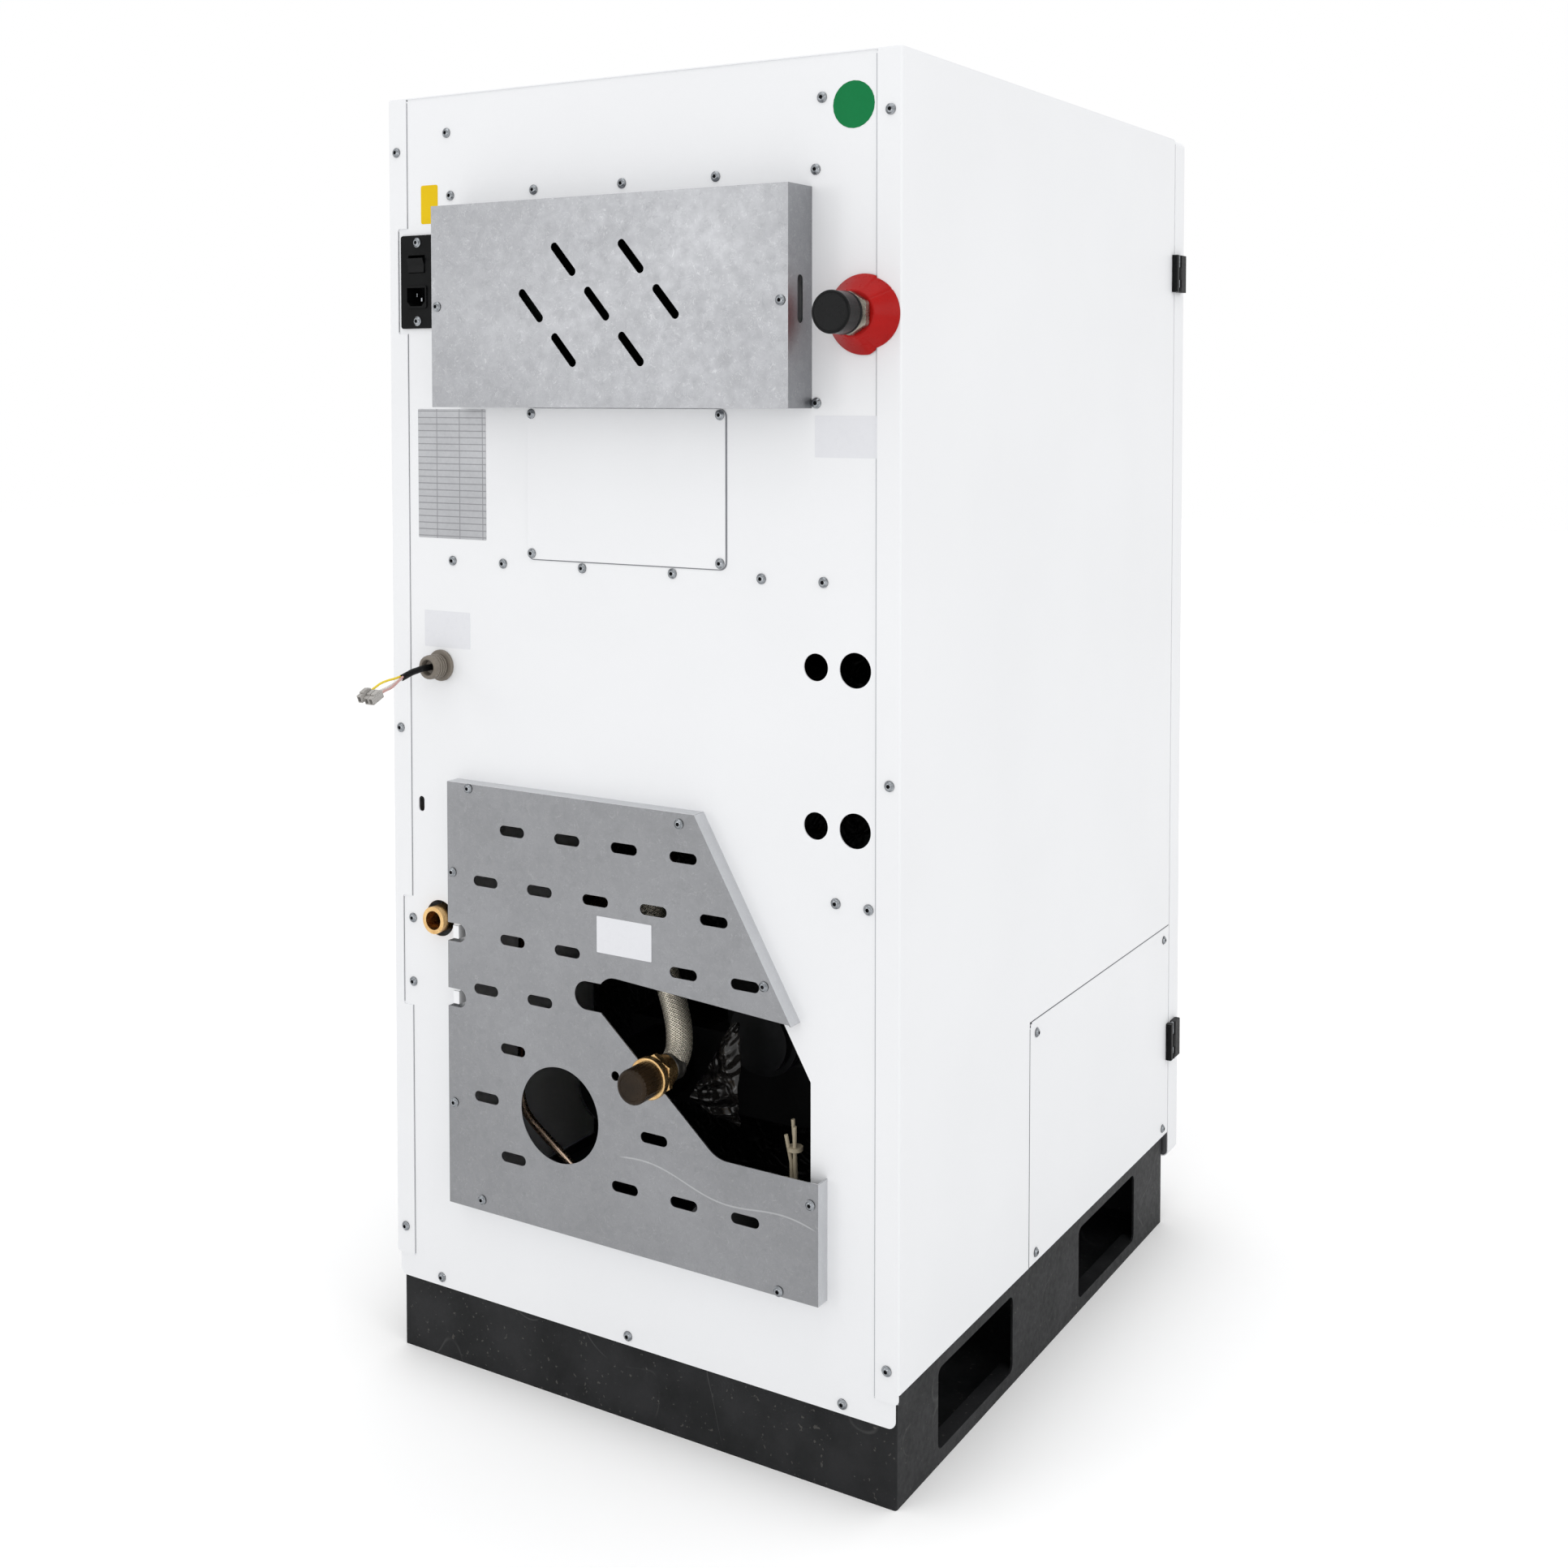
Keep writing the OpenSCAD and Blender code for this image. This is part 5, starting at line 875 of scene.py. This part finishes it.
# Soft boxes: place in mm, what they face, side in metres, watts
LAMPS = [
    ("overhead", (0, 200, 3600), (0, -300, 700), 2.6, 18.0),
    ("near_side", (-4200, 700, 2100), (-300, -300, 700), 2.4, 22.0),
    ("sheen", (2150, 3300, 1370), (0, 0, 1150), 1.0, 9.0),
    ("into_openings", (-500, 3600, 900), (-60, 0, 420), 0.8, 8.0),
]


def hang_lamps():
    for name, place, target, side, watts in LAMPS:
        data = bpy.data.lights.new(name, "AREA")
        data.shape = "SQUARE"
        data.size = side
        data.energy = watts
        lamp = put(name, data)
        lamp.location = at(*place)
        lamp.rotation_euler = facing(at(*target) - at(*place))


# Screws, set on the places that the casing's plain heads take

def islands(node):
    """Corners of the box round each separate solid of a CAD node."""
    shape = merged(node)
    left, boxes = set(shape.verts), []
    while left:
        queue, seen = [left.pop()], []
        while queue:
            vert = queue.pop()
            seen.append(vert.co)
            for edge in vert.link_edges:
                other = edge.other_vert(vert)
                if other in left:
                    left.discard(other)
                    queue.append(other)
        boxes.append([Vector([pick(c[i] for c in seen) for i in range(3)]) for pick in (min, max)])
    shape.free()
    return sorted(boxes, key=lambda pair: tuple(pair[0]))


RECESS = (1.6, 1.5)  # radii of the recess's rim and floor
LOBE = 0.16  # depth of its six lobes, as a share of the radius
HEAD_RINGS = [(0, 0), (4.5, 0), (4.7, 0.25), (4.7, 0.7), (4.4, 0.95), (3.9, 1.15), (3.6, 1.7),
              (3, 2.25), (2.2, 2.52), (1.75, 2.6), (RECESS[0], 2.5), (RECESS[1], 1.2), (0, 1)]
# Painted shade on each head: its faces under the rim's height and within the recess's radius are drawn
# nearly black
SHADED_BELOW = 0.6  # height of the rim's shade
SHADED_WITHIN = 1.62  # radius of the recess's shade


def head_mesh():
    """One pan head: a flange, a dome, and a six-lobed recess sunk in it."""
    around = 24
    verts = []
    for radius, height in HEAD_RINGS:
        for k in range(around):
            angle = 2 * math.pi * k / around
            lobe = 1 + LOBE * math.cos(6 * angle) if radius in RECESS else 1.0
            verts.append((radius * lobe * math.cos(angle) * MM, radius * lobe * math.sin(angle) * MM,
                          height * MM))
    mesh = mesh_of("pan_head", *closed(verts, ring_faces(len(HEAD_RINGS), around)))
    smooth_by_angle(mesh, 40.0)
    # faces under the rim and in the recess are marked for the painted shade
    shaded = mesh.attributes.new("shaded", "BOOLEAN", "FACE")
    for face, mark in zip(mesh.polygons, shaded.data):
        middle = face.center
        mark.value = middle.z < SHADED_BELOW * MM or math.hypot(middle.x, middle.y) < SHADED_WITHIN * MM
    return mesh


def screw_painted_shade():
    # Painted shade on the zinc in the recess and under the rim, where no light comes: nearly black.
    return plain_finish("zinc_in_shade", "#0E0F10", "#1B1C1E", (0.5, 0.6), 1.0, 0.01, gloss=0.1)


def screw_tree():
    """The tree that sets a head on each point, square to its axis and turned at random."""
    tree = bpy.data.node_groups.new("set_screws", "GeometryNodeTree")
    tree.interface.new_socket("Geometry", in_out="OUTPUT", socket_type="NodeSocketGeometry")
    sockets = {}
    for label, kind in (("Geometry", "Geometry"), ("Head", "Object"), ("Finish", "Material"),
                        ("Shade", "Material"), ("Head size", "Float"), ("Seed", "Int")):
        made = tree.interface.new_socket(label, in_out="INPUT", socket_type="NodeSocket" + kind)
        sockets[label] = made.identifier
    given = add(tree, "NodeGroupInput").outputs
    axis = add(tree, "GeometryNodeInputNamedAttribute", {"Name": "axis"}, data_type="FLOAT_VECTOR")
    square = add(tree, "FunctionNodeAlignRotationToVector", {"Vector": axis.outputs[0]}, axis="Z")
    roll = add(tree, "FunctionNodeRandomValue", {2: 0.0, 3: 2 * math.pi, "Seed": given["Seed"]},
               data_type="FLOAT")
    roll = add(tree, "ShaderNodeCombineXYZ", {"Z": roll.outputs[1]})
    roll = add(tree, "FunctionNodeEulerToRotation", {0: roll.outputs[0]})
    turn = add(tree, "FunctionNodeRotateRotation", {0: square.outputs[0], 1: roll.outputs[0]},
               rotation_space="LOCAL")
    head = add(tree, "GeometryNodeObjectInfo", {"Object": given["Head"]})
    placed = add(tree, "GeometryNodeInstanceOnPoints",
                 {"Points": given["Geometry"], "Instance": head.outputs["Geometry"],
                  "Rotation": turn.outputs[0], "Scale": given["Head size"]})
    real = add(tree, "GeometryNodeRealizeInstances", {"Geometry": placed.outputs[0]})
    coated = add(tree, "GeometryNodeSetMaterial", {"Geometry": real.outputs[0], "Material": given["Finish"]})
    # the marked faces take the painted shade's nearly black finish
    shaded = add(tree, "GeometryNodeInputNamedAttribute", {"Name": "shaded"}, data_type="BOOLEAN")
    coated = add(tree, "GeometryNodeSetMaterial", {"Geometry": coated.outputs[0], "Material": given["Shade"],
                                                   "Selection": shaded.outputs[0]})
    add(tree, "NodeGroupOutput", {0: coated.outputs[0]})
    return tree, sockets


HEAD_SIZE = 1.13  # the heads drawn above, against those on the casing
HEAD_SEED = 7  # of their random turns


def set_screws():
    """Puts a head wherever the CAD has one: its flat side on the sheet, its axis out of it."""
    seats, axes = [], []
    for lo, hi in islands("casing_screws"):
        middle, size = (lo + hi) / 2, hi - lo
        if size.y < size.x:
            seats.append((middle.x, lo.y, middle.z))
            axes.append((0, 1, 0))
        else:
            seats.append((hi.x, middle.y, middle.z))
            axes.append((-1, 0, 0))
    mesh = mesh_of("screw_places", seats, [])
    layer = mesh.attributes.new("axis", "FLOAT_VECTOR", "POINT")
    for spot, axis in zip(layer.data, axes):
        spot.vector = axis
    screws, head = put("pan_head_screws", mesh), put("pan_head", head_mesh())
    modifier = screws.modifiers.new("set_screws", "NODES")
    modifier.node_group, sockets = screw_tree()
    zinc, shade = finish_of("zinc_plated_steel"), screw_painted_shade()
    given = {"Head": head, "Finish": zinc.material, "Shade": shade.material, "Head size": HEAD_SIZE,
             "Seed": HEAD_SEED}
    for label, value in given.items():
        modifier[sockets[label]] = value
    settle(screws)
    bpy.data.objects.remove(head)
    fix(screws, "zinc_plated_steel", "casing_screws")


# Connections on the rear

FLOW = (-280.0, 0.0, 1152.0)  # where the flow pipe comes out


def flow_connection():
    """Capped flow pipe: a red rosette, a nickel-plated nut with its thread, a black cap."""
    slit, seam, rim = math.radians(142), 14.0, 38.5

    def rosette_edge(angle, radius, height):
        # the slit by which it is slipped over the pipe, and the smaller rim on the proud strip
        away = abs((angle - slit + math.pi) % (2 * math.pi) - math.pi)
        if radius > 20 and away < 0.02:
            radius -= 0.6
        beyond = -math.cos(angle) * rim - seam
        if beyond > -8 and radius > 16:
            step = 0.05 if beyond > 0 else 0.0
            ease = 0.07 * min(1.0, (beyond + 8) / 8) if math.sin(angle) < 0 else 0.0
            radius *= 1 - (step + ease) * math.sin(angle) ** 2 * (radius / rim) ** 2
        return radius
    rosette = [(14.5, 0), (rim, 0), (rim, 1.2), (38.2, 1.9), (37.4, 2.8), (35, 5.6), (31, 10.4),
               (27, 15.4), (24, 19.2), (22.9, 20.8), (22.2, 21.6), (21.2, 22), (14.5, 22)]
    piece("flow_rosette_red", [turned(FLOW, rosette, 180, rosette_edge)], "red_plastic", "flow_rosette",
          angle=50.0)
    thread = []
    for k in range(6):
        low = 32.4 + k * 1.2
        thread += [(17.2, low), (18.4, low + 0.6)]
    nut = [turned(FLOW, chamfered(20.6, 13.6, 22.3, 32.3, 2.2), shaper=hexagon(37.0)),
           turned(FLOW, [(13.6, 32.3), (17.2, 32.3)] + thread + [(17.2, 39.8), (13.6, 39.8)])]
    piece("flow_nut_nickel", nut, "nickel_brass", "flow_nut")
    cap = [(13.8, 40.2), (20.1, 40.2), (20.5, 40.6), (20.5, 42.4), (20.1, 43), (19.7, 43.4), (19.7, 44.2),
           (20.1, 44.6), (20.1, 61.8), (20.3, 62.6), (20.3, 63.8), (19.9, 64.8), (19.2, 65.6), (18.3, 66),
           (17.4, 65.9), (17, 65.5), (0, 65.4), (0, 63), (13.8, 63)]
    piece("flow_cap_black", [turned(FLOW, cap, 120)], "cap_plastic", "flow_cap", angle=40.0)


def cable_gland():
    """Cable gland: a collar, a fluted clamping nut with rolled ribs, and a soft rounded mouth."""
    x, _, z = GLAND_MOUTH

    def fluted(angle, radius, height):
        on_nut = 15.8 < height < 21.0 and radius > 12
        return radius - (0.35 * max(0.0, math.cos(NUT_FLUTES * angle)) if on_nut else 0)
    outline = [(9, -13.5), (10, -13.5), (10, -1.5), (16.6, -1.5), (17.2, -1), (17.2, 1.4),
               (16.4, 2.4), (13.4, 2.6), (11.4, 2.8), (11.2, 4.4), (13, 4.8), (13.4, 5.4), (13.4, 6.6),
               (13, 7.2), (11.9, 7.4), (11.9, 8.2), (13, 8.4), (13.4, 8.9), (13.4, 10.1), (13, 10.6),
               (11.9, 10.8), (11.9, 11.6), (13, 11.8), (13.4, 12.3), (13.4, 14), (12.9, 14.6),
               (12.3, 14.8), (12.3, 15.4), (13, 15.7), (13.3, 16.6), (13.2, 19.6), (12.6, 21.2),
               (11.6, 22.2), (10.6, 22.5), (9.4, 22.5), (8.6, 22), (8, 20.5), (7.6, 15.5), (3.8, 14.5),
               (3.8, -5.5), (9, -7.5)]
    piece("cable_gland_taupe", [turned((x, 0, z), outline, 128, fluted)], "gland_plastic", "cable_gland",
          angle=28.0)


# Blank plates and stickers: x, z, width, height, corner radius, face they lie on

PLATES = {
    "rating_plate_blank": (232.5, 989.8, 96.0, 141.5, 1.0, PANEL_Y),
    "label_blank_flow": (-259.5, 1035.8, 68.0, 40.4, 1.0, PANEL_Y),
    "label_blank_gland": (240.5, 819.0, 65.0, 40.0, 1.0, PANEL_Y),
    "label_blank_guard": (-9.5, 518.0, 69.0, 38.0, 1.0, GUARD_Y),
    "sticker_plain_yellow": (262.0, 1284.0, 24.0, 42.0, 2.5, PANEL_Y),
    "sticker_plain_green": (-267.7, 1350.7, 45.0, 45.0, 22.4, PANEL_Y),
}
PLATE_THICK = 0.25


def film(name, dark, light, rough):
    """Plastic film, left blank: even, a little glossier than the sheet under it."""
    return plain_finish(name, dark, light, rough, 3.0, 0.004, patch=90.0, gloss=0.12)


RULED_BOX = (0.0322, 0.0072)  # metres across and down one box of the ruled table
RULE = 0.0006  # metres across its lines


def ruled_foil():
    # Silver polyester foil of a rating plate: satin, with the empty ruled lines of a table.
    foil = plain_finish("label_foil_silver", "#A0A1A4", "#B4B5B8", (0.34, 0.42), 3.0, 0.004, metal=0.6,
                        patch=90.0)
    place = add(foil.tree, "ShaderNodeSeparateXYZ", {"Vector": foil.coords}).outputs
    flat = foil.out("CombineXYZ", {"X": place["X"], "Y": place["Z"]})
    across, down = RULED_BOX
    rules = foil.out("TexBrick", {"Vector": flat, "Scale": 1.0, "Mortar Size": RULE, "Brick Width": across,
                                  "Row Height": down}, "Fac", offset=0.0)
    foil.tint(rules, "#3F4043", 0.45)
    return foil


def stick_plates():
    white = film("label_film_white", "#E2E3E7", "#E6E7EB", (0.25, 0.33))
    yellow = film("label_film_yellow", "#E4BE06", "#EAC60C", (0.28, 0.36))
    green = film("label_film_green", "#04713C", "#087C44", (0.28, 0.36))
    surfaces = {"rating_plate_blank": (ruled_foil(), "plain_galvanised"),
                "sticker_plain_yellow": (yellow, "lead_core"),
                "sticker_plain_green": (green, "circuit_board")}
    for name, plate in PLATES.items():
        finish, slot = surfaces.get(name, (white, "white_powder_coat"))
        piece(name, [rounded_plate(*plate, PLATE_THICK)], slot, flats=False, finish=finish)


# Thin trim: the fold that closes the top edge, and painted shadow lines along the seams beside the side
# panels' strips

SEAM_SHADOWS = {  # lines by the x and z of their ends
    "seam_right": [(-292.4, 110, -292.4, 1396), (-318, 108.6, -292.4, 108.6)],
    "seam_left": [(293.6, 110, 293.6, 393), (293.6, 517, 293.6, 1143), (293.6, 1259, 293.6, 1396),
                  (306.6, 396, 306.6, 514), (306.6, 1146, 306.6, 1256), (294, 392.6, 304, 392.6),
                  (294, 517.4, 304, 517.4), (294, 1142.6, 304, 1142.6), (294, 1259.4, 304, 1259.4)],
}
# Painted shadow lines along the access panel's seams on the left side: the y and z of their ends
ACCESS_SEAM_SHADOWS = [(-307.2, 119, -307.2, 383), (-750, 390.8, -315, 390.8), (-308.6, 385.4, -308.6, 386.6),
                (-311.4, 388.8, -311.4, 389.6)]
SEAM_FACES = (-2.0, -1.3)  # from and to which y the rear seams reach
ACCESS_FACES = (-320.25, -319.4)  # from and to which x the access panel's seams reach
SEAM_HALF = 0.35  # half of a seam's width
ACCESS_HALF = 0.5


def seam_painted_shadow(name, dark, light):
    # Painted shadow of the gap between two lacquered sheets, a soft grey line.
    return film(name, dark, light, (0.5, 0.6))


def lay_trim():
    def trim(name, solids, slot="white_powder_coat", finish=None):
        piece(name, solids, slot, flats=False, finish=finish)
    piece("top_fold_white", [box((-293, -3.2, 1397.6), (293, -1.6, 1401.4), 0.3)], "white_powder_coat")
    # grey strips that paint the shadow in the seams' gaps
    shade = seam_painted_shadow("seam_shade_grey", "#7E8084", "#888A8E")
    faint = seam_painted_shadow("seam_shade_pale", "#B2B4B8", "#BCBEC2")
    deep = seam_painted_shadow("seam_shade_deep", "#55575B", "#606266")
    low, high = SEAM_FACES
    for name, lines in SEAM_SHADOWS.items():
        strips = [box((x0 - SEAM_HALF, low, z0 - SEAM_HALF), (x1 + SEAM_HALF, high, z1 + SEAM_HALF), 0.1)
                  for x0, z0, x1, z1 in lines]
        trim(name, strips, finish=faint if name == "seam_right" else shade)
    # a grey rim round the inspection plate, painted shadow where it stands proud
    trim("inspection_plate_gap", [rounded_plate(1.2, 981.5, 251.6, 161.2, 8.0, -1.6, 0.7)], finish=shade)
    # darker strips, painted shadow along the access panel's seams
    low, high = ACCESS_FACES
    strips = [box((low, y0 - ACCESS_HALF, z0 - ACCESS_HALF), (high, y1 + ACCESS_HALF, z1 + ACCESS_HALF), 0.1)
              for y0, z0, y1, z1 in ACCESS_SEAM_SHADOWS]
    trim("seam_access", strips, finish=deep)
    # a black liner that closes the base from below, its black also painted shade in the base's pockets
    trim("base_liner_black", [box((-306, -742, 0.6), (306, -12, 2.0), 0.3)], "black_powder_coat")


# The copper tube that shows through the flue hole, and the insulation's crumpled foil

DISCHARGE_STEPS = [(202, -80, 485.7), (202, -80, 440), (202, -80, 380), (202, -77, 320), (199, -72, 297),
                   (187, -64, 276), (169, -60, 263), (149, -60, 249), (128, -60, 235), (111, -62, 219),
                   (103, -66, 198), (100, -70, 172), (100, -70, 146), (100, -70, 120)]
DISCHARGE_R = 4.5


def discharge_tube():
    tube = tube_along("copper_discharge_tube", DISCHARGE_STEPS, DISCHARGE_R, sides=24, rings=120)[0]
    fix(tube, "copper_pipe", "discharge_tube")


FOIL_CORNERS = [(-36, -64, 330), (-106, -52, 318), (-107, -52, 428), (-97, -54, 426)]


def foil_fold():
    # Black plastic foil with sharp wrinkles that catch thin glints.
    foil = Finish("wrinkled_black_foil")
    foil.tones(foil.lumps(30.0), "#0C0B0A", "#1B1917")
    foil.set(rough=foil.lumps(20.0, 0.14, 0.22))
    foil.raised(foil.threads(80.0, 0.14, 1.2, (0.6, 1.0, 1.8)), 4.0, 0.8)
    return foil


def hang_foil():
    """A slack fold of the lagging's foil beside the hose: a thin skin pulled into wrinkles."""
    low_left, low_right, top_right, top_left = [Vector(c) for c in FOIL_CORNERS]
    across, up = 60, 90
    skins = [[], []]
    for i in range(up + 1):
        v = i / up
        left, right = low_left.lerp(top_left, v), low_right.lerp(top_right, v)
        for k in range(across + 1):
            u = k / across
            spot = left.lerp(right, u)
            wave = 3.2 * math.sin(9 * v + 5 * u * u) + 2.0 * math.sin(27 * v - 10 * u + 2 * math.sin(6 * v))
            wave += 1.1 * abs(math.sin(19 * v + 9 * u))
            bulge = 9 * math.sin(math.pi * u) * math.sin(math.pi * min(1.0, v * 1.1))
            for skin, thick in zip(skins, (0.0, -0.4)):
                skin.append(at(spot.x, spot.y + bulge + wave * 0.8 + thick, spot.z))
    wide = across + 1
    count = wide * (up + 1)
    faces = []
    for i in range(up):
        for k in range(across):
            a = i * wide + k
            faces.append([a, a + 1, a + wide + 1, a + wide])
            faces.append([count + a, count + a + wide, count + a + wide + 1, count + a + 1])
    rim = list(range(wide)) + [i * wide + across for i in range(1, up + 1)]
    rim += [up * wide + k for k in range(across - 1, -1, -1)] + [i * wide for i in range(up - 1, 0, -1)]
    faces += [[a, b, count + b, count + a] for a, b in zip(rim, rim[1:] + rim[:1])]
    piece("lagging_foil_fold", [closed(skins[0] + skins[1], faces)], "black_foil_lagging", angle=50.0,
          flats=False, finish=foil_fold())


# How wide the broken edge of each sheet or casting is, in mm
EDGES = {
    "plinth": 0.7, "rear_panel": 0.3, "side_panel_left": 0.4, "side_panel_right": 0.4, "access_panel": 0.4,
    "top_panel": 0.4, "hopper_lid": 0.7, "lid_hinge_leaves": 0.3, "lid_hinge_straps": 0.3,
    "front_door": 0.6, "door_inner_pan": 0.3, "door_grip": 0.5, "display_bezel": 0.6,
    "display_glass": 0.3, "hinge_side_leaves": 0.3, "hinge_door_leaves": 0.3,
    "electronics_cover": 0.9, "flue_guard": 0.7, "inspection_plate": 0.5, "power_inlet": 0.4,
    "rocker_switch": 0.5, "inlet_pins": 0.3, "control_board": 0.3, "return_pump": 1.0, "fire_door": 1.5,
    "fire_door_handle": 0.8, "ash_drawer": 0.4, "boiler_body": 0.8, "floor_pan": 0.4,
    "frame_posts": 0.4, "frame_rails": 0.4, "inner_front": 0.3, "pellet_hopper": 0.3, "auger_motor": 0.8,
}


def main():
    place_camera()
    lay_cords()
    set_stage()
    hang_lamps()
    scene.view_settings.view_transform = "Standard"
    for name, edge in EDGES.items():
        finished = rounded_off(name, edge)
        if name in FOLD_HIGHLIGHTS:
            paint_fold_highlights(finished, *FOLD_HIGHLIGHTS[name])
    set_screws()
    flow_connection()
    cable_gland()
    stick_plates()
    discharge_tube()
    lay_trim()
    hang_foil()
    for name, thing in frame["nodes"].items():
        thing.material_slots[0].material = finish_of(DULLER.get(name, slot_of(name))).material


main()
